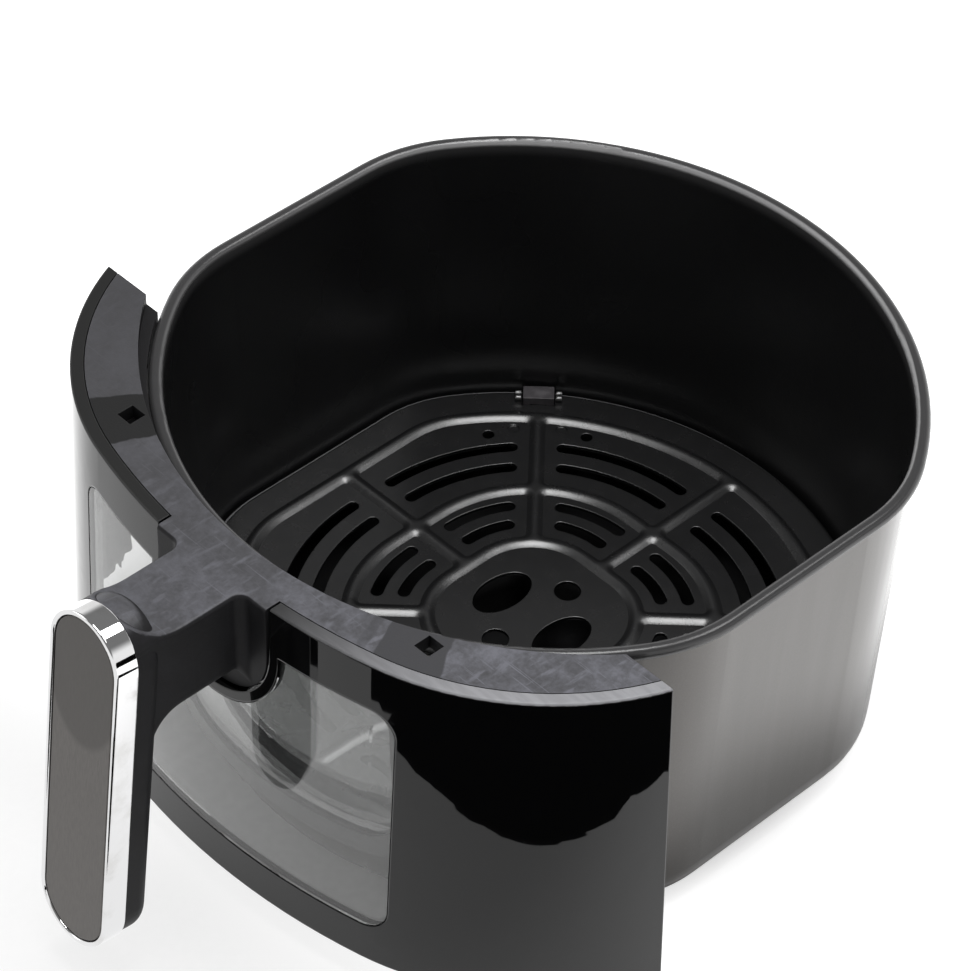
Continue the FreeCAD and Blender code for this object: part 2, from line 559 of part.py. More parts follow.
PIECES["inner_pane"] = solid("Part::Common", "inner_pane", Base=glass_shell, Tool=glass_prism)
hat_block = solid("Part::Common", "hat_block", Base=frame_face, Tool=hat_prism)
flange_block = solid("Part::Common", "flange_block", Base=flange_face, Tool=flange_prism)
frame_block = solid("Part::Fuse", "frame_block", Base=hat_block, Tool=flange_block)
nest_block = solid("Part::Common", "nest_block", Base=glass_face, Tool=nest_prism)
frame_room = solid("Part::MultiFuse", "frame_room", Shapes=[wall_face, nest_block, sight_prism])
PIECES["inner_frame"] = solid("Part::Cut", "inner_frame", Base=frame_block, Tool=frame_room)

# Fascia: leaning moulded front with a window, rebated behind for its pane and notched for the shoulder


def front_sheet(name, outer, inner):
    """Band of the front drawn down along the fascia's lean."""
    sketch = free_sketch(name + "_plan", "front_top")
    front_band(sketch, outer, inner, "band_end")
    sheet = solid("Part::Extrusion", name, Base=sketch, DirMode="Custom", Solid=True)
    lean = math.radians(num("fascia_lean"))
    sheet.Dir = V(0, -math.sin(lean), -math.cos(lean))
    sheet.setExpression("Dir.y", "-sin(sizes.fascia_lean * 1 deg)")
    sheet.setExpression("Dir.z", "-cos(sizes.fascia_lean * 1 deg)")
    sheet.setExpression("LengthFwd", "places.front_drop / cos(sizes.fascia_lean * 1 deg)")
    return sheet


def window_outline(name, grow):
    """Upright rounded rectangle that grows round the fascia's window."""
    sketch = free_sketch(name)
    lap = sum(num(item) for item in grow)
    lap_text = " + ".join(ref(item) for item in grow)
    rounded_box(sketch, (num("window_width") / 2 + lap, "sizes.window_width / 2 + " + lap_text),
                (num("window_base") - lap, "sizes.window_base - (%s)" % lap_text),
                (num("window_top") + lap, "places.window_top + " + lap_text),
                (num("window_corner") + lap, "sizes.window_corner + " + lap_text))
    return sketch


def shoulder_prism(name, grow):
    sketch = free_sketch(name + "_outline")
    tongue_loop(sketch, grow)
    return forward_prism(name, sketch)


def soften(name, base, *runs):
    """Round the edges of a document solid; each run is (test, named radius)."""
    doc.recompute()
    rounded = solid("Part::Fillet", name, Base=base)
    chosen = []
    for test, radius in runs:
        chosen += [(i, num(radius), num(radius)) for i, edge in enumerate(base.Shape.Edges, 1) if test(edge)]
    rounded.Edges = chosen
    return rounded


def front_crest(edge):
    """Top edges of the fascia's outer face."""
    if not level_edge(edge, num("front_top")) or edge.Curve.TypeId != "Part::GeomCircle":
        return False
    return min(abs(edge.Curve.Radius - num(name)) for name in ("front_arc", "side_arc")) < TINY


skin = soften("skin", front_sheet("skin_block", "no_inset", "fascia_wall"), (front_crest, "fascia_edge"))
rebate = front_sheet("rebate", "window_lip", "rebate_inner")
window_box = forward_prism("window_box", window_outline("window_plan", ["no_inset"]))
lip_prism = shoulder_prism("lip_prism", "shoulder_lip")
notch_prism = shoulder_prism("notch_prism", "notch_gap")
pane_notch = shoulder_prism("pane_notch", "pane_gap")
window_hole = solid("Part::Cut", "window_hole", Base=window_box, Tool=lip_prism)
pane_box = forward_prism("pane_box", window_outline("pane_plan", ["glass_lap"]))
pane_room_box = forward_prism("pane_room_box", window_outline("pane_room_plan", ["glass_lap", "fit_gap"]))
rim_notch = shoulder_prism("rim_notch", "pane_gap_room")
pane_room_cut = solid("Part::Cut", "pane_room_cut", Base=pane_room_box, Tool=rim_notch)
rebate_room = solid("Part::Common", "rebate_room", Base=rebate, Tool=pane_room_cut)
end_box = solid("Part::Box", "end_box")
end_box.setExpression("Length", "places.fascia_reach * 4")
end_box.setExpression("Width", "places.fascia_reach")
end_box.setExpression("Height", "places.front_top * 2")
end_box.setExpression("Placement.Base.x", "-places.fascia_reach * 2")
end_box.setExpression("Placement.Base.y", "-sizes.fascia_end")


def screw_line(turn, level, start):
    """Placement on the fascia's side arc, looking outward square to it."""
    side = side_centre()
    angle = math.radians(abs(turn))
    hand = math.copysign(1, turn)
    out = V(hand * math.sin(angle), -math.cos(angle), 0)
    base = V(hand * side.x, side.y, level) + out * start
    return FreeCAD.Placement(base, FreeCAD.Rotation(V(0, 0, 1), out))


def cylinder(name, diameter, height, placement):
    item = solid("Part::Cylinder", name, Placement=placement)
    item.setExpression("Radius", "(%s) / 2" % diameter)
    item.setExpression("Height", height)
    return item


bores = []
FASCIA_SCREWS = {}
for hand, side_name in ((-1, "left"), (1, "right")):
    for level_name in ("low", "high"):
        level = num("fascia_screw_" + level_name)
        place = screw_line(hand * num("fascia_screw_turn"), level, num("screw_seat"))
        label = "fascia_screw_%s_%s" % (side_name, level_name)
        FASCIA_SCREWS[label] = place
        bore_place = screw_line(hand * num("fascia_screw_turn"), level, num("screw_seat") - num("slide_gap"))
        bores.append(cylinder(label + "_bore", "sizes.screw_size + 2 * sizes.fit_gap",
                              "places.fascia_screw_shank + 2 * sizes.slide_gap", bore_place))
fascia_room = solid("Part::MultiFuse", "fascia_room",
                    Shapes=[window_hole, rebate_room, notch_prism, end_box] + bores)
PIECES["fascia"] = solid("Part::Cut", "fascia", Base=skin, Tool=fascia_room)

# Fascia glazing: seal, curved pane that stands flush in the window, and a sheet retainer behind it
seal_sheet = front_sheet("seal_sheet", "window_lip", "seal_inner")
pane_sheet = front_sheet("pane_sheet", "seal_inner", "fascia_wall")
retainer_sheet = front_sheet("retainer_band", "fascia_wall", "retainer_inner")
pane_prism = solid("Part::Cut", "pane_prism", Base=pane_box, Tool=pane_notch)
seal_prism = solid("Part::Cut", "seal_prism", Base=pane_prism, Tool=window_hole)
PIECES["outer_seal"] = solid("Part::Common", "outer_seal", Base=seal_sheet, Tool=seal_prism)
pane_flange = solid("Part::Common", "pane_flange", Base=pane_sheet, Tool=pane_prism)
plug_sheet = front_sheet("plug_sheet", "pane_set_back", "fascia_wall")
plug_box = forward_prism("plug_box", window_outline("plug_plan", ["window_shy"]))
plug_prism = solid("Part::Cut", "plug_prism", Base=plug_box, Tool=shoulder_prism("plug_notch", "pane_lip"))
pane_plug = solid("Part::Common", "pane_plug", Base=plug_sheet, Tool=plug_prism)
PIECES["outer_pane"] = solid("Part::Fuse", "outer_pane", Base=pane_flange, Tool=pane_plug)
retainer_box = forward_prism("retainer_box", window_outline("retainer_plan", ["glass_lap", "retainer_lap"]))
retainer_notch = shoulder_prism("retainer_notch", "notch_gap")
retainer_room = solid("Part::MultiFuse", "retainer_room", Shapes=[retainer_notch, window_hole])
retainer_prism = solid("Part::Cut", "retainer_prism", Base=retainer_box, Tool=retainer_room)
PIECES["pane_retainer"] = solid("Part::Common", "pane_retainer", Base=retainer_sheet, Tool=retainer_prism)

# Collar: moulding over the pan's front rim with side cheeks, bosses and the handle's shoulder
collar_body = new_body("collar_body")
collar_plan = body_sketch(collar_body, "collar_plan", "rim_top")
front_band(collar_plan, "collar_outer", "collar_inner", "fascia_end")
pad(collar_body, collar_plan, "places.collar_thick")
bore_plan = body_sketch(collar_body, "collar_bore_plan", "front_top")
add_circle(bore_plan, 0, num("collar_bore_y"), 2 * num("collar_bore"),
           "0", "places.collar_bore_y", "2 * places.collar_bore")
pocket(collar_body, bore_plan, "places.collar_thick")
ledge_plan = body_sketch(collar_body, "ledge_plan", "ledge_base")
rim_loop(ledge_plan, "ledge_inner")
rim_loop(ledge_plan, "ledge_outer")
pad(collar_body, ledge_plan, "sizes.ledge_drop + sizes.ledge_rise")
ledge_end = body_sketch(collar_body, "ledge_end", "ledge_top")
box_loop(ledge_end, (num("pan_width"), "sizes.pan_width"), (-num("fascia_end"), "-sizes.fascia_end"),
         (num("pan_length"), "sizes.pan_length"))
pocket(collar_body, ledge_end, "sizes.ledge_drop + sizes.ledge_rise")
cheek_plan = body_sketch(collar_body, "cheek_plan", "cheek_base")
front_band(cheek_plan, "collar_outer", "cheek_inner", "fascia_end")
pad(collar_body, cheek_plan, "places.rim_top - places.cheek_base")
middle = body_sketch(collar_body, "cheek_gap", "rim_top")
box_loop(middle, (num("cheek_start"), "sizes.cheek_start"),
         (-2 * num("fascia_reach"), "-2 * places.fascia_reach"), (-TINY, "-%s" % TINY))
pocket(collar_body, middle, "places.rim_top - places.cheek_base")


def shoulder_brow(edge):
    """Top edge of the shoulder's front face."""
    return level_edge(edge, num("front_top")) and edge.BoundBox.YMax < TINY - num("fascia_reach")


shoulder = body_sketch(collar_body, "shoulder_outline", "shoulder_back", role="XZ_Plane")
tongue_loop(shoulder, "no_inset")
shoulder_pad = pad(collar_body, shoulder, "sizes.shoulder_depth")
doc.recompute()
fillet(collar_body, shoulder_pad, edges_of(shoulder_pad, shoulder_brow), "sizes.arm_edge")
boss_plan = body_sketch(collar_body, "boss_plan", "shelf_top")
for hand in (-1, 1):
    add_circle(boss_plan, hand * num("boss_x"), num("boss_y"), num("boss_size"),
               "%d * places.boss_x" % hand, "places.boss_y", "sizes.boss_size")
pad(collar_body, boss_plan, "sizes.boss_drop")
hook_plan = body_sketch(collar_body, "hook_slots", "front_top")
for hand in (-1, 1):
    side = num("hook_slot") / 2
    x, front_y = hand * num("hook_slot_x"), -num("hook_slot_y")
    back_y = front_y + num("hook_slot")
    lines = square_run(hook_plan, [V(x - side, front_y, 0), V(x + side, front_y, 0),
                                   V(x + side, back_y, 0), V(x - side, back_y, 0)])
    bind(hook_plan, Rule("DistanceX", -1, 1, lines[0], 1, x - side),
         "%d * sizes.hook_slot_x - sizes.hook_slot / 2" % hand)
    bind(hook_plan, Rule("DistanceX", -1, 1, lines[0], 2, x + side),
         "%d * sizes.hook_slot_x + sizes.hook_slot / 2" % hand)
    bind(hook_plan, Rule("DistanceY", lines[0], 1, -1, 1, -front_y), "places.hook_slot_y")
    bind(hook_plan, Rule("DistanceY", lines[2], 1, -1, 1, -back_y), "places.hook_slot_y - sizes.hook_slot")
pocket(collar_body, hook_plan, "places.collar_thick")

# Grip back: leaning moulded bar with rounded back edges and a core for the ring and insert
grip_body = new_body("grip_body")
grip_plan = grip_sketch(grip_body, "grip_plan")
grip_loop(grip_plan, "grip_shy")
bar = pad(grip_body, grip_plan, "sizes.grip_depth", back=True)
doc.recompute()
lean = math.radians(num("grip_lean"))
grip_up = V(0, math.sin(lean), math.cos(lean))
grip_out = V(0, -math.cos(lean), math.sin(lean))
grip_base = V(0, -num("grip_reach"), num("grip_centre"))


def forward_of(edge):
    """How far the middle of an edge lies ahead of the ring's back plane."""
    return (edge_middle(edge) - grip_base).dot(grip_out)


bar = fillet(grip_body, bar, edges_of(bar, lambda edge: forward_of(edge) < TINY - num("grip_depth")),
             "sizes.grip_round")
core_plan = grip_sketch(grip_body, "core_plan")
grip_loop(core_plan, "core_inset")
pad(grip_body, core_plan, "places.core_height")

# Handle arm: side outline with its blends, trimmed to a plan with a flared neck and to the grip's crown
rise = V(0, -num("rise_start"), num("front_top"))
crest = grip_base + grip_up * num("crest_reach")
rise_height = crest.z - rise.z
rise_radius = ((crest.y - rise.y) ** 2 + rise_height ** 2) / (2 * rise_height)
rise_turn = math.asin((rise.y - crest.y) / rise_radius)
rise_middle = rise + V(0, -rise_radius * math.sin(rise_turn / 2), rise_radius * (1 - math.cos(rise_turn / 2)))
blend = num("arm_blend")
hollow_z = num("arm_base") - blend
hollow_lean = (hollow_z - grip_base.z) * math.sin(lean)
hollow_y = grip_base.y + (num("grip_depth") + blend + hollow_lean) / math.cos(lean)
blend_centre = V(0, hollow_y, hollow_z)
under = blend_centre + V(0, 0, blend)
behind = blend_centre + grip_out * blend
blend_middle = blend_centre + (V(0, 0, 1) + grip_out).normalize() * blend
ahead = behind + grip_out * num("grip_depth")
root_y = -num("shoulder_back")
face_y = -num("fascia_reach")
neck = num("neck_round")
neck_centre = V(0, face_y - neck, num("arm_base") - neck)
neck_top = neck_centre + V(0, 0, neck)
neck_middle = neck_centre + V(0, 1, 1).normalize() * neck
neck_end = neck_centre + V(0, neck, 0)
root_low = V(0, root_y, neck_end.z)
root_high = V(0, root_y, num("front_top"))


def flat_prism(name, curves, direction, length):
    """Closed run of lines and arcs drawn out along a direction."""
    outline = solid("Part::Feature", name + "_outline")
    outline.Shape = Part.Face(Part.Wire(Part.__sortEdges__([curve.toShape() for curve in curves])))
    prism = solid("Part::Extrusion", name, Base=outline, DirMode="Custom", Dir=direction, Solid=True)
    prism.setExpression("LengthFwd", length)
    return prism


arm_side = flat_prism("arm_side", [
    Part.LineSegment(root_high, rise),
    Part.Arc(rise, rise_middle, crest),
    Part.LineSegment(crest, ahead),
    Part.LineSegment(ahead, behind),
    Part.Arc(behind, blend_middle, under),
    Part.LineSegment(under, neck_top),
    Part.Arc(neck_top, neck_middle, neck_end),
    Part.LineSegment(neck_end, root_low),
    Part.LineSegment(root_low, root_high),
], V(1, 0, 0), "2 * sizes.shoulder_half")
arm_side.Symmetric = True
half = num("arm_half")
flare_x = half + neck
flare_y = face_y - neck
far_y = 2 * face_y
plan_curves = [
    Part.LineSegment(V(-half, far_y, 0), V(half, far_y, 0)),
    Part.LineSegment(V(-flare_x, root_y, 0), V(flare_x, root_y, 0)),
]
for hand in (-1, 1):
    flare_start = V(hand * half, flare_y, 0)
    flare_middle = V(hand * flare_x, flare_y, 0) + V(-hand, 1, 0).normalize() * neck
    flare_end = V(hand * flare_x, face_y, 0)
    plan_curves += [
        Part.LineSegment(V(hand * half, far_y, 0), flare_start),
        Part.Arc(flare_start, flare_middle, flare_end),
        Part.LineSegment(flare_end, V(hand * flare_x, root_y, 0)),
    ]
arm_plan = flat_prism("arm_plan", plan_curves, V(0, 0, 1), "2 * places.front_top")
crown = num("grip_width") / 2
brow_z = num("grip_centre") + num("brow_rise")
brow_x = math.sqrt(crown ** 2 - num("brow_rise") ** 2)
wide = num("shoulder_half")
arm_crown = flat_prism("arm_crown", [
    Part.LineSegment(V(-wide, 0, 0), V(wide, 0, 0)),
    Part.LineSegment(V(wide, 0, 0), V(wide, 0, brow_z)),
    Part.LineSegment(V(wide, 0, brow_z), V(brow_x, 0, brow_z)),
    Part.Arc(V(brow_x, 0, brow_z), V(0, 0, num("grip_centre") + crown), V(-brow_x, 0, brow_z)),
    Part.LineSegment(V(-brow_x, 0, brow_z), V(-wide, 0, brow_z)),
    Part.LineSegment(V(-wide, 0, brow_z), V(-wide, 0, 0)),
], V(0, -1, 0), "2 * places.fascia_reach")
arm_block = solid("Part::MultiCommon", "arm_block", Shapes=[arm_side, arm_plan, arm_crown])


def flank_edge(edge):
    """Long edges at the arm's left and right sides, ahead of the shoulder's face."""
    box = edge.BoundBox
    return box.XMin * box.XMax > 0 and box.YMax < face_y + TINY and box.YLength > 1


def top_flank(edge):
    box = edge.BoundBox
    return flank_edge(edge) and box.ZMin > root_high.z - TINY and box.YMin > crest.y - TINY


def low_flank(edge):
    box = edge.BoundBox
    return flank_edge(edge) and box.ZMax < num("arm_base") + TINY and box.YMin > behind.y - TINY


arm = soften("arm", arm_block, (top_flank, "arm_edge"), (low_flank, "arm_under_edge"))
moulding = solid("Part::MultiFuse", "moulding", Shapes=[collar_body, grip_body, arm])
SCREWS = dict.fromkeys(FASCIA_SCREWS, "places.fascia_screw_shank")
PLACED = dict(FASCIA_SCREWS)
collar_bores = list(bores)
for hand, side_name in ((-1, "left"), (1, "right")):
    label = "collar_screw_" + side_name
    seat = V(hand * num("boss_x"), num("boss_y"), num("shelf_under"))
    PLACED[label] = FreeCAD.Placement(seat, FreeCAD.Rotation())
    SCREWS[label] = "sizes.bracket_sheet + sizes.screw_bite"
    collar_bores.append(cylinder(label + "_bore", "sizes.screw_size + 2 * sizes.fit_gap",
                                 "sizes.bracket_sheet + sizes.screw_bite + sizes.slide_gap",
                                 FreeCAD.Placement(seat, FreeCAD.Rotation())))
bore_set = solid("Part::MultiFuse", "bore_set", Shapes=collar_bores)
PIECES["collar"] = solid("Part::Cut", "collar", Base=moulding, Tool=bore_set)

# Grip trim: polished ring round the core and a satin insert inside it
grip_ring = new_body("grip_ring")
ring_plan = grip_sketch(grip_ring, "ring_plan")
grip_loop(ring_plan, "no_inset")
grip_loop(ring_plan, "ring_wall")
hoop = pad(grip_ring, ring_plan, "sizes.ring_depth")
doc.recompute()
fillet(grip_ring, hoop, edges_of(hoop, lambda edge: forward_of(edge) > num("ring_depth") - TINY),
       "sizes.ring_edge")
PIECES["grip_ring"] = grip_ring
grip_insert = new_body("grip_insert")
insert_plan = grip_sketch(grip_insert, "insert_plan", "core_height")
grip_loop(insert_plan, "core_inset")
panel = pad(grip_insert, insert_plan, "sizes.insert_thick")
doc.recompute()
fillet(grip_insert, panel,
       edges_of(panel, lambda edge: forward_of(edge) > num("core_height") + num("insert_thick") - TINY),
       "sizes.ring_edge")
PIECES["grip_insert"] = grip_insert

# Brackets: sheet angles welded to the pan's front wall under the collar's bosses
for hand, side_name in ((-1, "left"), (1, "right")):
    turned = FreeCAD.Rotation(V(0, 0, 1), hand * num("bracket_turn"))
    centre = V(0, num("bow_centre"), 0)
    leg_box = solid("Part::Box", "leg_box_" + side_name)
    leg_box.setExpression("Length", "sizes.bracket_width")
    leg_box.setExpression("Width", "sizes.rim_arc")
    leg_box.setExpression("Height", "sizes.bracket_drop + sizes.bracket_sheet")
    offset = turned.multVec(V(-num("bracket_width") / 2, -1.5 * num("rim_arc"), 0))
    leg_box.Placement = FreeCAD.Placement(centre + offset + V(0, 0, num("bracket_foot")), turned)
    shelf_box = solid("Part::Box", "shelf_box_" + side_name)
    shelf_box.setExpression("Length", "sizes.bracket_width")
    shelf_box.setExpression("Width", "sizes.rim_arc / 2 + sizes.bracket_reach")
    shelf_box.setExpression("Height", "sizes.bracket_sheet")
    reach = num("wall_radius") + num("bracket_reach")
    offset = turned.multVec(V(-num("bracket_width") / 2, -reach, 0))
    shelf_box.Placement = FreeCAD.Placement(centre + offset + V(0, 0, num("shelf_under")), turned)
    leg_skin = solid("Part::Common", "leg_skin_" + side_name, Base=bracket_face, Tool=leg_box)
    angle = solid("Part::Fuse", "angle_" + side_name, Base=leg_skin, Tool=shelf_box)
    seat = PLACED["collar_screw_" + side_name].Base - V(0, 0, num("slide_gap"))
    hole = cylinder("shelf_hole_" + side_name, "sizes.screw_size + 2 * sizes.slide_gap",
                    "sizes.bracket_sheet + 2 * sizes.slide_gap", FreeCAD.Placement(seat, FreeCAD.Rotation()))
    room = solid("Part::MultiFuse", "bracket_room_" + side_name, Shapes=[wall_face, hole])
    label = "bracket_" + side_name
    PIECES[label] = solid("Part::Cut", label, Base=angle, Tool=room)

# Screws: pan-head screws through the brackets and the cheeks
for label, shank in SCREWS.items():
    screw = new_body(label)
    head = body_sketch(screw, label + "_head")
    add_circle(head, 0, 0, num("screw_head"), "0", "0", "sizes.screw_head")
    disc = pad(screw, head, "sizes.screw_head_thick", back=True)
    doc.recompute()
    fillet(screw, disc, edges_of(disc, lambda edge: level_edge(edge, -num("screw_head_thick"))),
           "sizes.screw_head_round")
    stem = body_sketch(screw, label + "_stem")
    add_circle(stem, 0, 0, num("screw_size"), "0", "0", "sizes.screw_size")
    pad(screw, stem, shank)
    screw.Placement = PLACED[label]
    PIECES[label] = screw

# Crisper plate: stamped sheet with a turned-down skirt, raised beads, arc slots, dimples and lifting holes
crisper = new_body("crisper_plate")
blank = body_sketch(crisper, "plate_blank", "plate_foot")
rim_loop(blank, "plate_inset")
sheet_block = pad(crisper, blank, "sizes.skirt_height")
doc.recompute()
fillet(crisper, sheet_block, edges_of(sheet_block, lambda edge: level_edge(edge, num("plate_top"))),
       "sizes.plate_edge")
under_side = body_sketch(crisper, "plate_under", "plate_foot")
rim_loop(under_side, "skirt_inset")
pocket(crisper, under_side, "sizes.skirt_height - sizes.plate_sheet", back=True)


def square_loop(sketch, half, corner, narrow):
    """Rounded square about the origin, a given distance inside a bead's outer edge."""
    shy = num(narrow)
    shy_text = ref(narrow)
    side = (num(half) - shy, "%s - %s" % (ref(half), shy_text))
    low = (shy - num(half), "%s - %s" % (shy_text, ref(half)))
    rounded_box(sketch, side, low, side, (num(corner) - shy, "%s - %s" % (ref(corner), shy_text)))


bead_plan = body_sketch(crisper, "bead_plan", "plate_top")
rim_loop(bead_plan, "outer_bead_inset")
rim_loop(bead_plan, "outer_bead_inner")
for half_name in ("middle_bead", "inner_bead"):
    square_loop(bead_plan, half_name, half_name + "_corner", "no_inset")
    square_loop(bead_plan, half_name, half_name + "_corner", "bead_width")
pad(crisper, bead_plan, "sizes.bead_height")


def pattern(body, feature, name):
    """Four copies about the vertical axis."""
    copies = body.newObject("PartDesign::PolarPattern", name)
    copies.Originals = [feature]
    axis = next(item for item in body.Origin.OriginFeatures if item.Role == "Z_Axis")
    copies.Axis = (axis, [""])
    copies.Angle = 360
    copies.Occurrences = 4
    body.Tip = copies
    doc.recompute()
    return copies


def turned_sketch(body, name, level, angle):
    sketch = body_sketch(body, name, level)
    sketch.AttachmentOffset = FreeCAD.Placement(V(0, 0, num(level)), FreeCAD.Rotation(V(0, 0, 1), angle))
    sketch.setExpression("AttachmentOffset.Base.z", ref(level))
    return sketch


def run_loop(sketch, start, end, half):
    """Rectangle along the sketch's X axis; each size is (value, expression)."""
    (x0, x0_text), (x1, x1_text), (w, w_text) = start, end, half
    lines = square_run(sketch, [V(x0, -w, 0), V(x1, -w, 0), V(x1, w, 0), V(x0, w, 0)])
    bind(sketch, Rule("DistanceX", -1, 1, lines[0], 1, x0), x0_text)
    bind(sketch, Rule("DistanceX", -1, 1, lines[0], 2, x1), x1_text)
    bind(sketch, Rule("DistanceY", lines[0], 1, -1, 1, w), w_text)
    bind(sketch, Rule("DistanceY", -1, 1, lines[2], 1, w), w_text)


for angle, name, start, end in ((0, "straight_ribs", "rib_start", "rib_end"),
                                (45, "diagonal_ribs", "diagonal_start", "diagonal_end")):
    rib = turned_sketch(crisper, name, "plate_top", angle)
    run_loop(rib, (num(start), ref(start)), (num(end), ref(end)),
             (num("bead_width") / 2, "sizes.bead_width / 2"))
    pattern(crisper, pad(crisper, rib, "sizes.bead_height"), name + "_set")


def bead_corner(edge):
    """Upright edges where a rib meets a ring."""
    box = edge.BoundBox
    if abs(box.ZMin - num("plate_top")) > TINY or abs(box.ZMax - num("bead_top")) > TINY:
        return False
    x, y = abs(box.Center.x), abs(box.Center.y)
    rib_half = num("bead_width") / 2
    return abs(min(x, y) - rib_half) < TINY or abs(abs(x - y) / math.sqrt(2) - rib_half) < TINY


def bead_crest(edge):
    return level_edge(edge, num("bead_top"))


lattice = fillet(crisper, crisper.Tip, edges_of(crisper.Tip, bead_corner), "sizes.bead_corner")
slopes = crisper.newObject("PartDesign::Chamfer", "bead_slopes")
slopes.Base = (lattice, edges_of(lattice, bead_crest))
slopes.ChamferType = "Two distances"
slopes.FlipDirection = True
slopes.setExpression("Size", "sizes.bead_slope_height")
slopes.setExpression("Size2", "sizes.bead_slope_width")
doc.recompute()


def arc_slot(sketch, half_name, corner_name, mirrored):
    """Round-ended slot along the corner arc of a rounded square, between two ribs."""
    reach = num("slot_width") / 2
    radius = num(corner_name)
    centre = num(half_name) - radius
    gap = num("slot_rib_gap") + reach
    first = math.pi / 4 + math.asin(gap / radius)
    last = min(math.pi / 2, math.acos((gap - centre) / radius))
    if mirrored:
        first, last = math.pi / 2 - last, math.pi / 2 - first
    outer = sketch.addGeometry(arc_of(centre, centre, radius + reach, first, last))
    inner = sketch.addGeometry(arc_of(centre, centre, radius - reach, first, last))
    tips = []
    for angle, back in ((first, math.pi), (last, 0)):
        x = centre + radius * math.cos(angle)
        y = centre + radius * math.sin(angle)
        tips.append(sketch.addGeometry(arc_of(x, y, reach, angle + back, angle + back + math.pi)))
    sketch.addConstraint(Rule("Tangent", tips[0], 2, outer, 1))
    sketch.addConstraint(Rule("Tangent", tips[0], 1, inner, 1))
    sketch.addConstraint(Rule("Tangent", outer, 2, tips[1], 1))
    sketch.addConstraint(Rule("Tangent", inner, 2, tips[1], 2))
    sketch.addConstraint(Rule("Coincident", inner, 3, outer, 3))
    bind(sketch, Rule("Radius", outer, radius + reach), "%s + sizes.slot_width / 2" % ref(corner_name))
    bind(sketch, Rule("DistanceX", -1, 1, outer, 3, centre), "%s - %s" % (ref(half_name), ref(corner_name)))
    bind(sketch, Rule("DistanceY", -1, 1, outer, 3, centre), "%s - %s" % (ref(half_name), ref(corner_name)))
    bind(sketch, Rule("Radius", tips[0], reach), "sizes.slot_width / 2")


slots = body_sketch(crisper, "slot_plan", "plate_top")
for slot_name in ("slot_one", "slot_two", "slot_three", "slot_four"):
    for mirrored in (False, True):
        arc_slot(slots, slot_name, slot_name + "_corner", mirrored)
pattern(crisper, pocket(crisper, slots, "2 * sizes.plate_sheet"), "slot_set")
for hole_name, depth in (("vent_hole", "2 * sizes.plate_sheet"), ("dimple", "sizes.dimple_depth")):
    spots = turned_sketch(crisper, hole_name + "_plan", "plate_top", 45)
    radius_name = hole_name + "_radius"
    turn_name = hole_name + "_turn"
    turn = math.radians(num(turn_name))
    for hand in (-1, 1):
        add_circle(spots, num(radius_name) * math.cos(turn), hand * num(radius_name) * math.sin(turn),
                   num(hole_name), "%s * cos(%s * 1 deg)" % (ref(radius_name), ref(turn_name)),
                   "%d * %s * sin(%s * 1 deg)" % (hand, ref(radius_name), ref(turn_name)), ref(hole_name))
    pattern(crisper, pocket(crisper, spots, depth), hole_name + "_set")
notch = turned_sketch(crisper, "bumper_notch", "plate_top", 45)
notch_in = num("bumper_inner") - num("slide_gap")
notch_half = num("bumper_width") / 2 + num("slide_gap")
tongue_half = num("tongue_width") / 2
tongue_end = num("bumper_inner") + num("tongue_length")
far = num("pan_width")
lines = square_run(notch, [
    V(notch_in, -notch_half, 0), V(far, -notch_half, 0), V(far, notch_half, 0), V(notch_in, notch_half, 0),
    V(notch_in, tongue_half, 0), V(tongue_end, tongue_half, 0), V(tongue_end, -tongue_half, 0),
    V(notch_in, -tongue_half, 0)])
bind(notch, Rule("DistanceX", -1, 1, lines[0], 1, notch_in), "sizes.bumper_inner - sizes.slide_gap")
bind(notch, Rule("DistanceX", -1, 1, lines[0], 2, far), "sizes.pan_width")
bind(notch, Rule("DistanceX", -1, 1, lines[4], 2, tongue_end), "sizes.bumper_inner + sizes.tongue_length")
bind(notch, Rule("DistanceX", -1, 1, lines[3], 1, notch_in), "sizes.bumper_inner - sizes.slide_gap")
bind(notch, Rule("DistanceY", lines[0], 1, -1, 1, notch_half), "sizes.bumper_width / 2 + sizes.slide_gap")
bind(notch, Rule("DistanceY", -1, 1, lines[2], 1, notch_half), "sizes.bumper_width / 2 + sizes.slide_gap")
bind(notch, Rule("DistanceY", -1, 1, lines[4], 1, tongue_half), "sizes.tongue_width / 2")
bind(notch, Rule("DistanceY", lines[6], 1, -1, 1, tongue_half), "sizes.tongue_width / 2")
pattern(crisper, pocket(crisper, notch, "2 * sizes.skirt_height"), "notch_set")
centre_holes = body_sketch(crisper, "lifting_holes", "plate_top")
for hand in (-1, 1):
    add_circle(centre_holes, 0, hand * num("round_hole_y"), num("round_hole"), "0",
               "%d * sizes.round_hole_y" % hand, "sizes.round_hole")
    oval_centre = V(hand * num("oval_x"), 0, 0)
    oval = Part.Ellipse(oval_centre + V(0, num("oval_length") / 2, 0),
                        oval_centre + V(num("oval_width") / 2, 0, 0), oval_centre)
    ring_edge = centre_holes.addGeometry(oval)
    bind(centre_holes, Rule("DistanceX", -1, 1, ring_edge, 3, hand * num("oval_x")),
         "%d * sizes.oval_x" % hand)
crisper.Tip = pocket(crisper, centre_holes, "2 * sizes.plate_sheet")
PIECES["crisper_plate"] = crisper

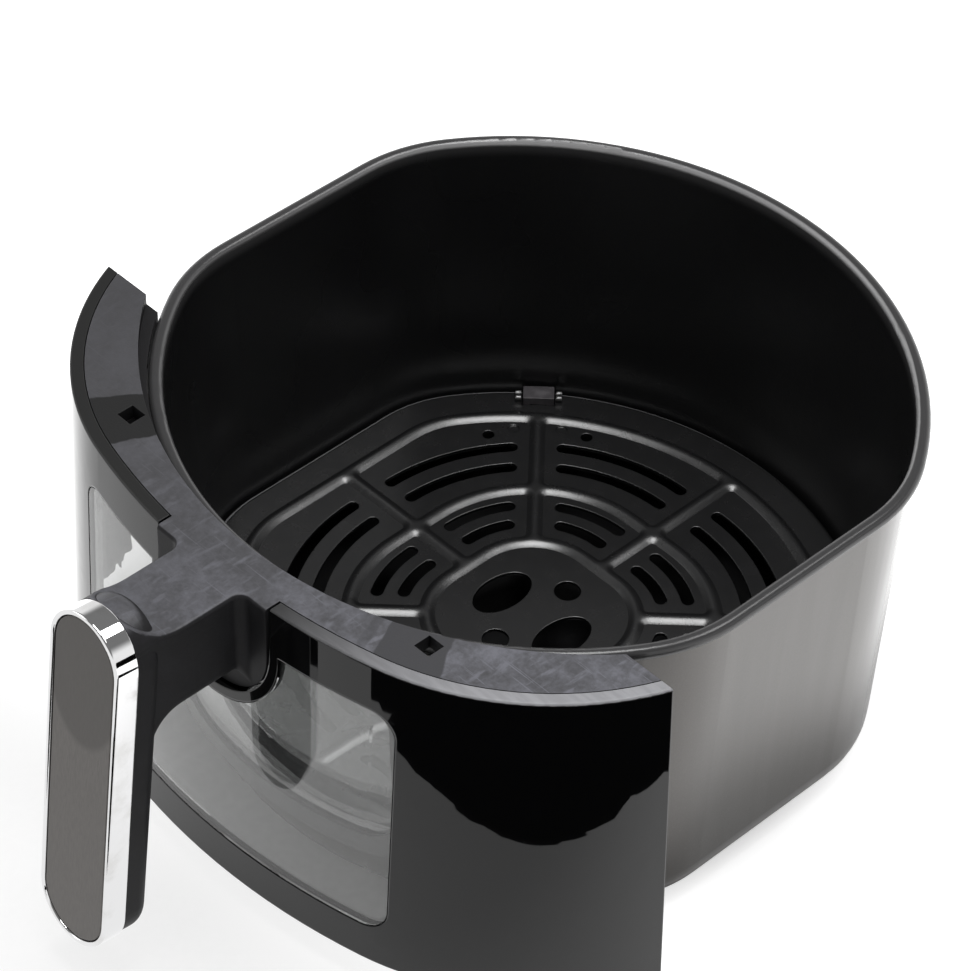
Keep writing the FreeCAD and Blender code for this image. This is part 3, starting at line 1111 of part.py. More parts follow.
# Bumpers: soft blocks pushed on the plate's corner tongues
for angle, name in ((45, "back_right"), (135, "back_left"), (225, "front_left"), (315, "front_right")):
    bumper = new_body("bumper_" + name)
    block_plan = body_sketch(bumper, name + "_block", "bumper_foot")
    run_loop(block_plan, (num("bumper_inner"), ref("bumper_inner")),
             (num("bumper_outer"), ref("bumper_outer")),
             (num("bumper_width") / 2, "sizes.bumper_width / 2"))
    block = pad(bumper, block_plan, "sizes.bumper_height")
    doc.recompute()
    outer_x = num("bumper_outer") - TINY
    fillet(bumper, block, edges_of(block, lambda edge: edge.BoundBox.XMin > outer_x), "sizes.bumper_round")
    slit = body_sketch(bumper, name + "_slit", "bumper_inner", role="YZ_Plane")
    box_loop(slit, (num("tongue_width") / 2 + num("fit_gap"), "sizes.tongue_width / 2 + sizes.fit_gap"),
             (num("plate_top") - num("plate_sheet") - num("fit_gap"),
              "sizes.plate_top - sizes.plate_sheet - sizes.fit_gap"),
             (num("plate_top") + num("fit_gap"), "sizes.plate_top + sizes.fit_gap"))
    pocket(bumper, slit, "sizes.tongue_length + sizes.fit_gap", back=True)
    bumper.Placement = FreeCAD.Placement(V(), FreeCAD.Rotation(V(0, 0, 1), angle))
    PIECES["bumper_" + name] = bumper
doc.recompute()

# Check every object, then write each piece
for item in doc.Objects:
    if "Invalid" in item.State or "Error" in item.State:
        raise RuntimeError(item.Name + " did not build")
os.makedirs("parts", exist_ok=True)
for label, piece in PIECES.items():
    shape = piece.Shape
    if shape.isNull() or not shape.isValid() or len(shape.Solids) != 1:
        raise RuntimeError(label + " is not one valid solid")
    piece.Label = label
    shape.exportStep("parts/%s.step" % label)
print(len(PIECES), "pieces written")
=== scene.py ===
import math

import bmesh
import bpy
from mathutils import Matrix, Vector


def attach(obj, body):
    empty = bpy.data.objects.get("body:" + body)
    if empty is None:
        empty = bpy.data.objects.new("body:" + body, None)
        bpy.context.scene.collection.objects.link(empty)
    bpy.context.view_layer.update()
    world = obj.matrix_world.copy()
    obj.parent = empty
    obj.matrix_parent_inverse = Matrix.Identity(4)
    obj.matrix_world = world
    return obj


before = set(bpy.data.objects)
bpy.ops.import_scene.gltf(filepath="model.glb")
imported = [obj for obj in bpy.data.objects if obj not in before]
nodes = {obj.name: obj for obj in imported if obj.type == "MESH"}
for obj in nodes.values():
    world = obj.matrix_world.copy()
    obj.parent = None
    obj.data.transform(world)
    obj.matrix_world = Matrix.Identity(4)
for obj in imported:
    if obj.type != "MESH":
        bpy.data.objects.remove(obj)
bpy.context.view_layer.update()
scene = bpy.context.scene
scene.view_settings.view_transform = "Standard"

# Camera
# It looks down into the pan from the right of the handle, through a long lens, and is rolled a little.
# Its aim is the middle of the pan's mouth, and the two offsets slide it sideways and down.
RIM_HEIGHT = 0.125
VIEW_AZIMUTH = math.radians(46.19)
VIEW_ELEVATION = math.radians(43.18)
VIEW_ROLL = math.radians(0.89)
VIEW_DISTANCE = 1.1997
VIEW_OFFSET = (-0.01632, -0.03204)
LENS = 144.95
SENSOR = 36.0
FARTHEST_SEEN = 50

back = Vector((math.sin(VIEW_AZIMUTH) * math.cos(VIEW_ELEVATION),
               -math.cos(VIEW_AZIMUTH) * math.cos(VIEW_ELEVATION), math.sin(VIEW_ELEVATION)))
level = Vector((math.cos(VIEW_AZIMUTH), math.sin(VIEW_AZIMUTH), 0))
upright = back.cross(level)
right = level * math.cos(VIEW_ROLL) + upright * math.sin(VIEW_ROLL)
upward = upright * math.cos(VIEW_ROLL) - level * math.sin(VIEW_ROLL)
camera = bpy.data.objects.new("camera", bpy.data.cameras.new("camera"))
scene.collection.objects.link(camera)
stand = Vector((0, 0, RIM_HEIGHT)) + back * VIEW_DISTANCE + right * VIEW_OFFSET[0] + upward * VIEW_OFFSET[1]
camera.matrix_world = Matrix.Translation(stand) @ Matrix((right, upward, back)).transposed().to_4x4()
camera.data.lens = LENS
camera.data.sensor_fit = "HORIZONTAL"
camera.data.sensor_width = SENSOR
camera.data.clip_end = FARTHEST_SEEN
scene.camera = camera

# Floor
# A wide matt sheet of pale card. It keeps the drawer's shadow close in and fades to plain white further
# out, both for the eye and in gloss and glass. In gloss, its white is stronger behind the handle.
WHITE = (1, 1, 1, 1)
FLOOR_REACH = 6.0
NEAR_FADE = (0.06, 0.14, 0.0, 0.75)
FAR_FADE = (0.14, 0.30, 0.0, 0.25)
GLOSS_FADE = (0.12, 0.16)
GLASS_FADE = (0.13, 0.45)
BRIGHT_BACK = (-0.16, -0.06, 1.0, 1.6)
GLAZED_WHITE = 0.76
CARD_TONES = (0.3, 0.7, 0.9, 0.95)


def node_maker(tree):
    """Gives a maker of shader nodes whose inputs are constants or other nodes' outputs."""
    tree.nodes.clear()

    def add(kind, *values, out=0, **settings):
        node = tree.nodes.new("ShaderNode" + kind)
        inputs = dict(enumerate(values))
        for key, value in settings.items():
            label = key.replace("_", " ")
            if label in node.inputs:
                inputs[label] = value
            else:
                setattr(node, key, value)
        for socket, value in inputs.items():
            if value is None:
                continue
            if isinstance(value, bpy.types.NodeSocket):
                tree.links.new(value, node.inputs[socket])
            else:
                node.inputs[socket].default_value = value
        return node.outputs[out] if node.outputs else None

    return add


def new_finish(name):
    """A new material, the maker of its nodes, and the place on the piece that its patterns read."""
    material = bpy.data.materials.new(name)
    material.use_nodes = True
    add = node_maker(material.node_tree)
    return material, add, add("TexCoord", out="Object")


def ramp(add, value, start, end, low=0.0, high=1.0):
    """A smooth step from low to high as the value goes from start to end."""
    return add("MapRange", value, start, end, low, high, interpolation_type="SMOOTHSTEP")


def total(add, first, second):
    return add("Math", first, second, operation="ADD")


def product(add, first, second):
    return add("Math", first, second, operation="MULTIPLY")


def larger(add, first, second):
    return add("Math", first, second, operation="MAXIMUM")


def between(add, share, first, second):
    """The number that lies a share of the way from the first to the second."""
    return add("Mix", share, None, first, second)


def noise(add, place, scale, detail=2.0):
    return add("TexNoise", place, Scale=scale, Detail=detail)


def new_object(name, shape, material):
    """Makes a finished bmesh an object of one material."""
    mesh = bpy.data.meshes.new(name)
    shape.to_mesh(mesh)
    shape.free()
    mesh.materials.append(material)
    item = bpy.data.objects.new(name, mesh)
    scene.collection.objects.link(item)
    return item


floor_card, add, place = new_finish("floor_card")
reach = add("VectorMath", place, operation="LENGTH", out="Value")
mirrored = add("LightPath", out="Is Glossy Ray")
through = add("LightPath", out="Is Transmission Ray")
fade = total(add, ramp(add, reach, *NEAR_FADE), ramp(add, reach, *FAR_FADE))
seen_white = product(add, fade, add("LightPath", out="Is Camera Ray"))
mirrored_white = product(add, ramp(add, reach, *GLOSS_FADE), mirrored)
glazed_white = product(add, ramp(add, reach, *GLASS_FADE), through)
white_share = larger(add, seen_white, larger(add, mirrored_white, glazed_white))
speck = ramp(add, noise(add, place, scale=300.0, detail=3.0), *CARD_TONES)
matt = add("BsdfDiffuse", add("CombineColor", speck, speck, speck))
bright = ramp(add, add("SeparateXYZ", place, out="Y"), *BRIGHT_BACK)
white = add("Emission", Color=WHITE, Strength=between(add, through, bright, GLAZED_WHITE))
add("OutputMaterial", add("MixShader", white_share, matt, white))

shape = bmesh.new()
bmesh.ops.create_grid(shape, x_segments=1, y_segments=1, size=FLOOR_REACH)
floor = new_object("floor", shape, floor_card)

# Dark boards
# Two black boards out of the eye's sight, which show in gloss and metal but not behind glass: a rough-edged
# one on the floor before the right of the front, and one that stands behind on the right and darkens the
# plated ring.
BOARD_BLACK = (0.004, 0.004, 0.004, 1)
BOARD_WEAVE = 0.5
FRONT_BOARD = ((0.015, -0.267), (0.027, -0.255), (0.056, -0.249), (0.061, -0.237), (0.084, -0.224),
               (0.105, -0.211), (0.134, -0.185), (0.153, -0.162), (0.173, -0.138), (0.193, -0.113),
               (0.204, -0.098), (0.210, -0.094), (0.215, -0.080), (0.222, -0.064), (0.235, -0.030),
               (0.330, -0.010), (0.330, -0.330), (-0.005, -0.330), (-0.005, -0.285))
FRONT_BOARD_LEVEL = 0.001
SIDE_BOARD = ((0.55, 0.80, 0.0), (1.25, 0.25, 0.0), (1.25, 0.25, 0.22), (0.55, 0.80, 0.22))
GLASS_PASSED = 0.5


def blend(add, share, first, second, kind="MIX"):
    """The colour that lies a share of the way from the first to the second."""
    return add("Mix", share, None, None, None, None, None, first, second, data_type="RGBA", blend_type=kind,
               out=2)


board_black, add, place = new_finish("board_black")
weave = noise(add, place, scale=400.0)
black = add("BsdfDiffuse", blend(add, BOARD_WEAVE, BOARD_BLACK, weave, "MULTIPLY"))
panes_passed = add("LightPath", out="Transmission Depth")
behind_glass = add("Math", panes_passed, GLASS_PASSED, operation="GREATER_THAN")
add("OutputMaterial", add("MixShader", behind_glass, black, add("BsdfTransparent")))
for name, corners in (("front_board", [(x, y, FRONT_BOARD_LEVEL) for x, y in FRONT_BOARD]),
                      ("side_board", SIDE_BOARD)):
    shape = bmesh.new()
    shape.faces.new([shape.verts.new(corner) for corner in corners])
    board = new_object(name, shape, board_black)
    for kind in ("camera", "transmission", "shadow", "volume_scatter"):
        setattr(board, "visible_" + kind, False)

# Studio light
# A soft box straight over the pan, weaker ones at the left of the handle and high behind it, and a
# pale room. Gloss and glass see a white backdrop round the sides and a dim ceiling above it.
ROOM_STRENGTH = 0.32
BACKDROP_STRENGTH = 1.0
CEILING_GREY = (0.20, 0.20, 0.20, 1)
CEILING_FADE = (0.30, 0.55)

world = bpy.data.worlds.new("room")
scene.world = world
world.use_nodes = True
add = node_maker(world.node_tree)
rise = add("SeparateXYZ", add("TexCoord", out="Generated"), out="Z")
sharp = larger(add, add("LightPath", out="Is Glossy Ray"), add("LightPath", out="Is Transmission Ray"))
studio = blend(add, ramp(add, rise, *CEILING_FADE), WHITE, CEILING_GREY)
room = add("MixShader", sharp, add("Background", WHITE, ROOM_STRENGTH),
           add("Background", studio, BACKDROP_STRENGTH))
backdrop = add("Background", WHITE, BACKDROP_STRENGTH)
add("OutputWorld", add("MixShader", add("LightPath", out="Is Camera Ray"), room, backdrop))


def soft_box(name, place, aim, size, power):
    lamp = bpy.data.lights.new(name, "AREA")
    lamp.shape = "RECTANGLE"
    lamp.size, lamp.size_y = size
    lamp.energy = power
    box = bpy.data.objects.new(name, lamp)
    scene.collection.objects.link(box)
    box.location = place
    box.rotation_mode = "QUATERNION"
    box.rotation_quaternion = (Vector(aim) - Vector(place)).to_track_quat("-Z", "Y")


soft_box("box_over", place=(0, 0, 1.45), aim=(0, 0, 0), size=(0.62, 0.62), power=12.0)
soft_box("box_left", place=(-1.1, -0.75, 0.9), aim=(0, -0.1, 0.08), size=(0.8, 0.8), power=3.5)
soft_box("box_back", place=(0.36, 0.48, 1.20), aim=(0, 0, 0.1), size=(0.6, 0.4), power=4.0)

# Pan
# Deep-drawn sheet metal with a rolled rim. The outside is a warm grey flake lacquer with drawing marks under
# a clear coat. The inside and the rim carry a dark non-stick coat with a pebbled skin, which is a paler grey
# on the rim. A pale line along the inside of the rim's crest, strongest at the back, is a painted highlight.
LACQUER = (0.052, 0.046, 0.041, 1)
LACQUER_DEEP = (0.042, 0.037, 0.033, 1)
LACQUER_FLAKE = (0.080, 0.074, 0.069, 1)
LACQUER_METAL = 0.85
LACQUER_ROUGH = (0.345, 0.385)
CLEAR_COAT_ROUGH = 0.10
CLEAR_COAT_IOR = 1.38
NON_STICK = (0.0060, 0.0060, 0.0064, 1)
NON_STICK_IOR = 1.5
NON_STICK_ROUGH = (0.26, 0.33)
INNER_FACING = (-0.02, -0.10)
BASE_LIFT = (0.45, 0.55)
COAT_EDGE = RIM_HEIGHT - 0.0022
COAT_EDGE_BLUR = 0.0004
RIM_PALE_GREY = (0.043, 0.0425, 0.0435, 1)
RIM_PALE_GREY_LEVELS = (RIM_HEIGHT - 0.0042, RIM_HEIGHT + 0.0005)
# Painted highlight: a pale line along the inside of the rim's crest, strongest at the back.
RIM_PAINTED_HIGHLIGHT = (0.25, 0.248, 0.250, 1)
RIM_HIGHLIGHT_LEVELS = (RIM_HEIGHT, RIM_HEIGHT + 0.0012)
RIM_HIGHLIGHT_FACING = (-0.30, -0.60)
RIM_HIGHLIGHT_TO_BACK = (-0.03, 0.09, 0.16, 1.0)
CREST_LEVELS = (RIM_HEIGHT, RIM_HEIGHT + 0.001)
CREST_ROUGH = 0.22
RIM_SOFT = 0.0009
PEBBLE_DEPTH = 0.0003
PEBBLE_RELIEF = (0.03, 0.12)
NOISE_MIDDLE = (0.3, 0.7)


def graded(add, share, low, high):
    """A smooth step from low to high as the share goes from nought to one."""
    return ramp(add, share, 0.0, 1.0, low, high)


def stretched_noise(add, place, stretch, detail=2.0):
    """Noise drawn out along the axes with small factors, for brushing, drawing marks and hairlines."""
    return noise(add, add("VectorMath", place, stretch, operation="MULTIPLY"), 1.0, detail)


def outwardness(add, place):
    """One where the surface faces away from the pan's upright axis, and minus one where it faces it."""
    flat_place = add("VectorMath", place, (1, 1, 0), operation="MULTIPLY")
    spoke = add("VectorMath", flat_place, operation="NORMALIZE")
    return add("VectorMath", spoke, add("NewGeometry", out="Normal"), operation="DOT_PRODUCT", out="Value")


def clad(add, **finish):
    add("OutputMaterial", add("BsdfPrincipled", **finish))


def dress(material, *names):
    for name in names:
        nodes[name].data.materials.clear()
        nodes[name].data.materials.append(material)


pan_finish, add, place = new_finish("pan_lacquer_and_non_stick")
outward = outwardness(add, place)
lift = add("SeparateXYZ", add("NewGeometry", out="Normal"), out="Z")
height = add("SeparateXYZ", place, out="Z")
inner = larger(add, ramp(add, outward, *INNER_FACING), ramp(add, lift, *BASE_LIFT))
coated = larger(add, inner, ramp(add, height, COAT_EDGE - COAT_EDGE_BLUR, COAT_EDGE))
cloud = noise(add, place, scale=11.0, detail=3.0)
drawn = stretched_noise(add, place, stretch=(160, 160, 5), detail=3.0)
flake = ramp(add, noise(add, place, scale=2600.0), start=0.35, end=0.75, high=0.35)
lacquer = blend(add, ramp(add, cloud, start=0.35, end=0.7), LACQUER, LACQUER_DEEP)
lacquer = blend(add, flake, lacquer, LACQUER_FLAKE)
# Painted highlight along the inside of the rim's crest, strongest towards the back.
rim_highlight = product(add, ramp(add, height, *RIM_HIGHLIGHT_LEVELS), ramp(add, outward, *RIM_HIGHLIGHT_FACING))
rim_highlight = product(add, rim_highlight, ramp(add, add("SeparateXYZ", place, out="Y"), *RIM_HIGHLIGHT_TO_BACK))
# The coat is a paler grey on the rim.
coat = blend(add, ramp(add, height, *RIM_PALE_GREY_LEVELS), NON_STICK, RIM_PALE_GREY)
coat = blend(add, rim_highlight, coat, RIM_PAINTED_HIGHLIGHT)
lacquer_rough = ramp(add, drawn, *NOISE_MIDDLE, *LACQUER_ROUGH)
coat_rough = ramp(add, cloud, *NOISE_MIDDLE, *NON_STICK_ROUGH)
coat_rough = between(add, ramp(add, height, *CREST_LEVELS), coat_rough, CREST_ROUGH)
relief = add("Bump", Strength=graded(add, coated, *PEBBLE_RELIEF), Distance=PEBBLE_DEPTH,
             Height=noise(add, place, scale=1100.0), Normal=add("Bevel", Radius=RIM_SOFT, samples=8))
clad(add, Base_Color=blend(add, coated, lacquer, coat), Metallic=graded(add, coated, LACQUER_METAL, 0.0),
     Roughness=between(add, coated, lacquer_rough, coat_rough), IOR=NON_STICK_IOR, Normal=relief,
     Coat_Weight=graded(add, coated, 1.0, 0.0), Coat_Roughness=CLEAR_COAT_ROUGH, Coat_IOR=CLEAR_COAT_IOR)
dress(pan_finish, "pan")

# Inner glazing
# A flat-edged pane bears on a soft silicone seal over the window in the pan's wall, and a black coated
# sheet frame clamps it there.
GLASS_CLEAR = (0.955, 0.965, 0.960, 1)
GLASS_SMEARED = (0.935, 0.945, 0.940, 1)
GLASS_ROUGH = (0.0, 0.008)
GLASS_IOR = 1.62
SILICONE = (0.028, 0.028, 0.029, 1)
SILICONE_DUSTY = (0.060, 0.059, 0.058, 1)
SILICONE_ROUGH = (0.48, 0.68)
FRAME_BLACK = (0.020, 0.020, 0.021, 1)
FRAME_WORN = (0.045, 0.044, 0.043, 1)
FRAME_METAL = 0.2
FRAME_ROUGH = (0.34, 0.46)
EDGE_SOFT = 0.0004
FINE_RELIEF = 0.0002


def patches(add, place, scale, detail, start, end):
    """Soft-edged patches of noise for dust, marks and wear."""
    return ramp(add, noise(add, place, scale, detail), start, end)


def soft_edges(add, height, strength, depth=FINE_RELIEF, radius=EDGE_SOFT):
    """Surface normals rounded at the edges, with a fine relief over them."""
    rounded = add("Bevel", Radius=radius, samples=16)
    return add("Bump", Strength=strength, Distance=depth, Height=height, Normal=rounded)


glass, add, place = new_finish("clear_glass")
smear = ramp(add, stretched_noise(add, place, stretch=(60, 60, 9), detail=1.0), start=0.35, end=0.85)
clad(add, Base_Color=blend(add, smear, GLASS_CLEAR, GLASS_SMEARED),
     Roughness=graded(add, smear, *GLASS_ROUGH), IOR=GLASS_IOR, Transmission_Weight=1.0)
dress(glass, "inner_pane")

silicone, add, place = new_finish("seal_silicone")
dust = patches(add, place, scale=90.0, detail=5.0, start=0.45, end=0.75)
grain = noise(add, place, scale=1800.0)
clad(add, Base_Color=blend(add, dust, SILICONE, SILICONE_DUSTY), Roughness=graded(add, dust, *SILICONE_ROUGH),
     Normal=soft_edges(add, grain, strength=0.15))
dress(silicone, "inner_seal")

frame_coat, add, place = new_finish("frame_black_coat")
worn = patches(add, place, scale=55.0, detail=6.0, start=0.5, end=0.8)
grain = noise(add, place, scale=700.0, detail=3.0)
clad(add, Base_Color=blend(add, worn, FRAME_BLACK, FRAME_WORN), Metallic=FRAME_METAL,
     Roughness=graded(add, worn, *FRAME_ROUGH), Normal=soft_edges(add, grain, strength=0.12))
dress(frame_coat, "inner_frame")

# Brackets
# Two folded strips of plated steel, spot-welded to the pan's wall, that carry the collar. The plating
# keeps the sheet's rolling lines and a faint crystal pattern.
STEEL = (0.46, 0.46, 0.455, 1)
STEEL_DULL = (0.30, 0.295, 0.285, 1)
STEEL_ROUGH = (0.26, 0.42)
CRYSTAL_SHARE = 0.12

bracket_steel, add, place = new_finish("bracket_plated_steel")
crystal = add("TexVoronoi", place, Scale=260.0, out="Color")
rolled = stretched_noise(add, place, stretch=(60, 60, 2200), detail=3.0)
dull = patches(add, place, scale=120.0, detail=5.0, start=0.45, end=0.75)
clad(add, Base_Color=blend(add, CRYSTAL_SHARE, blend(add, dull, STEEL, STEEL_DULL), crystal, "MULTIPLY"),
     Metallic=1.0, Roughness=ramp(add, rolled, *NOISE_MIDDLE, *STEEL_ROUGH),
     Normal=soft_edges(add, rolled, strength=0.08))
dress(bracket_steel, "bracket_left", "bracket_right")

# Collar
# One moulding of the top collar, the shoulder, the handle arm and the back of the grip, in matt grey
# plastic with a fine spark grain. Its top is scuffed and painted paler as painted light, and its sides are
# darker as painted shade; the top is painted lighter still towards the right. It is darker in a band
# round each of the two slots, and these bands are painted lighter towards the right as well.
# Painted shade on the sides and painted light on the top.
COLLAR_SIDE_PAINTED_SHADE = (0.012, 0.0117, 0.0125, 1)
COLLAR_TOP_PAINTED_LIGHT = (0.036, 0.0355, 0.039, 1)
# Pale scuffed tone, partly scuffs and partly painted light that grows towards the right.
COLLAR_SCUFFED_AND_LIT = (0.125, 0.126, 0.147, 1)
# A darker band round each slot, painted lighter towards the right as painted light.
COLLAR_SLOT_BAND = (0.008, 0.008, 0.0082, 1)
COLLAR_SLOT_BAND_LIT = (0.042, 0.042, 0.046, 1)
COLLAR_ROUGH = (0.0, 0.7, 0.50, 0.60)
COLLAR_SHEEN = (0.14, 0.5)
COLLAR_SLOT_BAND_SHEEN = (1.0, 0.6)
COLLAR_TOP_LEVELS = (0.1305, 0.1315)
COLLAR_TOP_LIFT = (0.7, 0.95)
COLLAR_GRAIN_DEPTH = 0.00025
BOW_CENTRE = (0.0, 0.0084, 0.0)
PATCH_TURNS = (math.radians(24.5), math.radians(33.5))
STRIPE_TURNS = (math.radians(22.0), math.radians(23.7))
STRIPE_SHARE = 0.45
TURN_BLUR = math.radians(0.35)
TURN_WOBBLE = 0.02
SCUFF_SPECKLE = (0.25, 0.75, 0.1, 0.5)
PAINTED_LIGHT_TO_RIGHT = (-0.11, 0.10, 0.14, 1.0)
SCUFF_AND_LIGHT_ON_TOP = (0.06, 0.75)
SLOT_BAND_LIT_TO_RIGHT = (-0.05, 0.05)


def band(add, value, start, end, blur, high=1.0):
    """High between start and end, and nought outside them."""
    return product(add, ramp(add, value, start, start + blur), ramp(add, value, end, end - blur, 0.0, high))


collar_grain, add, place = new_finish("collar_matt_grain")
lift = add("SeparateXYZ", add("NewGeometry", out="Normal"), out="Z")
across = add("SeparateXYZ", place, out="X")
on_top = product(add, ramp(add, add("SeparateXYZ", place, out="Z"), *COLLAR_TOP_LEVELS),
                 ramp(add, lift, *COLLAR_TOP_LIFT))
spread = add("VectorMath", place, BOW_CENTRE, operation="SUBTRACT")
side_way = add("SeparateXYZ", spread, out="X")
front_way = product(add, add("SeparateXYZ", spread, out="Y"), -1.0)
wobble = product(add, noise(add, place, scale=130.0, detail=4.0), TURN_WOBBLE)
turn = total(add, add("Math", side_way, front_way, operation="ARCTAN2"), wobble)
patch = band(add, add("Math", turn, operation="ABSOLUTE"), *PATCH_TURNS, TURN_BLUR)
stripe = band(add, turn, *STRIPE_TURNS, TURN_BLUR, STRIPE_SHARE)
# Darker band round each slot on the top; it is painted lighter towards the right as painted light.
retoned_area = product(add, larger(add, patch, stripe), on_top)
slot_band_tone = blend(add, ramp(add, across, *SLOT_BAND_LIT_TO_RIGHT), COLLAR_SLOT_BAND, COLLAR_SLOT_BAND_LIT)
cloudy = add("TexNoise", place, Scale=60.0, Detail=8.0, Roughness=0.72)
cloudy = ramp(add, cloudy, start=0.40, end=0.68)
smear = stretched_noise(add, place, stretch=(420, 110, 90), detail=6.0)
smear = ramp(add, smear, start=0.50, end=0.72)
hairline = stretched_noise(add, place, stretch=(40, 1400, 50), detail=3.0)
hairline = ramp(add, hairline, start=0.62, end=0.70)
speckle = ramp(add, noise(add, place, scale=700.0, detail=3.0), *SCUFF_SPECKLE)
worn = total(add, larger(add, larger(add, cloudy, smear), hairline), speckle)
# Scuffs, with painted light: the pale tone grows towards the right and is kept to the top.
scuffs_and_light = product(add, worn, ramp(add, across, *PAINTED_LIGHT_TO_RIGHT))
scuffs_and_light = product(add, scuffs_and_light, graded(add, on_top, *SCUFF_AND_LIGHT_ON_TOP))
# Painted light and shade: the top is painted paler than the sides.
tone = blend(add, scuffs_and_light, blend(add, on_top, COLLAR_SIDE_PAINTED_SHADE, COLLAR_TOP_PAINTED_LIGHT), COLLAR_SCUFFED_AND_LIT)
sheen = product(add, graded(add, on_top, *COLLAR_SHEEN), graded(add, retoned_area, *COLLAR_SLOT_BAND_SHEEN))
grain = noise(add, place, scale=1500.0)
clad(add, Base_Color=blend(add, retoned_area, tone, slot_band_tone), Roughness=ramp(add, scuffs_and_light, *COLLAR_ROUGH),
     Specular_IOR_Level=sheen, Normal=soft_edges(add, grain, strength=0.22, depth=COLLAR_GRAIN_DEPTH))
dress(collar_grain, "collar")

# Rim lip
# A thin strip of silicone stuck under the collar's inner ledge along the pan's bowed front. It closes the
# gap between the ledge and the rolled rim, and is cut off square at its two ends.
LIP_INNER, LIP_OUTER = 0.12605, 0.1280
LIP_LOW, LIP_HIGH = 0.1233, 0.1245
LIP_END = math.radians(37.3)
LIP_STEPS = 72

shape = bmesh.new()
section = [shape.verts.new((math.cos(LIP_END) * reach, BOW_CENTRE[1] - math.sin(LIP_END) * reach, height))
           for reach, height in ((LIP_INNER, LIP_LOW), (LIP_OUTER, LIP_LOW),
                                 (LIP_OUTER, LIP_HIGH), (LIP_INNER, LIP_HIGH))]
start = shape.faces.new(section)
bmesh.ops.spin(shape, geom=[start, *start.edges, *start.verts], cent=BOW_CENTRE, axis=(0, 0, -1),
               angle=math.pi - 2 * LIP_END, steps=LIP_STEPS)
bmesh.ops.recalc_face_normals(shape, faces=shape.faces)
lip = new_object("rim_lip", shape, silicone)
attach(lip, "drawer")

# Fascia
# The curved front moulding in black high-gloss plastic, left matt inside. Its skin has a slow moulding
# ripple, a little dust and a few hairline polishing marks, and a pale streaked band on the right of its top
# edge is a painted highlight.
FASCIA_BLACK = (0.0030, 0.0030, 0.0033, 1)
FASCIA_DUST = (0.012, 0.012, 0.012, 1)
FASCIA_EDGE = (0.008, 0.008, 0.0078, 1)
# Painted highlight on the right of the top edge.
FASCIA_EDGE_PAINTED_HIGHLIGHT = (0.30, 0.30, 0.315, 1)
FASCIA_EDGE_LEVELS = (0.1290, 0.1298)
FASCIA_EDGE_LIFT = (0.25, 0.45)
FASCIA_HIGHLIGHT_TO_RIGHT = (0.01, 0.10)
FASCIA_INNER_FACING = (-0.05, -0.20)
FASCIA_GLOSS_ROUGH = (0.025, 0.10)
FASCIA_MATT_ROUGH = 0.45
FASCIA_SHEEN = (0.5, 0.15)
FASCIA_IOR = 1.40
FASCIA_EDGE_SOFT = 0.0006
RIPPLE_DEPTH = 0.001

fascia_gloss, add, place = new_finish("fascia_high_gloss")
lift = add("SeparateXYZ", add("NewGeometry", out="Normal"), out="Z")
dust = patches(add, place, scale=900.0, detail=4.0, start=0.66, end=0.8)
hairline = stretched_noise(add, place, stretch=(300, 300, 12), detail=3.0)
hairline = ramp(add, hairline, start=0.68, end=0.76)
ripple = noise(add, place, scale=38.0, detail=1.0)
edge = product(add, ramp(add, add("SeparateXYZ", place, out="Z"), *FASCIA_EDGE_LEVELS),
               ramp(add, lift, *FASCIA_EDGE_LIFT))
# Painted highlight: a pale streaked band on the right of the top edge.
highlight_streaks = stretched_noise(add, place, stretch=(90, 500, 90), detail=5.0)
highlight_streaks = ramp(add, highlight_streaks, start=0.35, end=0.65, low=0.85)
pale = product(add, ramp(add, add("SeparateXYZ", place, out="X"), *FASCIA_HIGHLIGHT_TO_RIGHT), highlight_streaks)
inside = ramp(add, outwardness(add, place), *FASCIA_INNER_FACING)
face_tone = blend(add, dust, FASCIA_BLACK, FASCIA_DUST)
edge_tone = blend(add, pale, FASCIA_EDGE, FASCIA_EDGE_PAINTED_HIGHLIGHT)
gloss_rough = graded(add, larger(add, dust, hairline), *FASCIA_GLOSS_ROUGH)
clad(add, Base_Color=blend(add, edge, face_tone, edge_tone), IOR=FASCIA_IOR,
     Roughness=between(add, larger(add, edge, inside), gloss_rough, FASCIA_MATT_ROUGH),
     Specular_IOR_Level=graded(add, inside, *FASCIA_SHEEN),
     Normal=soft_edges(add, ripple, strength=0.02, depth=RIPPLE_DEPTH, radius=FASCIA_EDGE_SOFT))
dress(fascia_gloss, "fascia")

# Outer glazing
# A curved pane set flush in the fascia's window, bedded on a silicone seal and held from behind by a
# matt black retainer. It is the same glass and silicone as the inner glazing.
RETAINER_BLACK = (0.016, 0.016, 0.017, 1)
RETAINER_PALE = (0.034, 0.034, 0.035, 1)
RETAINER_ROUGH = (0.5, 0.62)

retainer_matt, add, place = new_finish("retainer_matt_plastic")
pale = patches(add, place, scale=70.0, detail=5.0, start=0.45, end=0.75)
grain = noise(add, place, scale=1400.0)
clad(add, Base_Color=blend(add, pale, RETAINER_BLACK, RETAINER_PALE),
     Roughness=graded(add, pale, *RETAINER_ROUGH), Normal=soft_edges(add, grain, strength=0.2))
dress(retainer_matt, "pane_retainer")
dress(silicone, "outer_seal")
dress(glass, "outer_pane")

# Screws
# Pan-head thread-forming screws in plated steel, four from the fascia into the collar's cheeks and two
# from the collar into the brackets. Their plating is finely grained and dull in patches.
SCREW_BRIGHT = (0.42, 0.42, 0.41, 1)
SCREW_DULL = (0.24, 0.235, 0.225, 1)
SCREW_ROUGH = (0.24, 0.40)

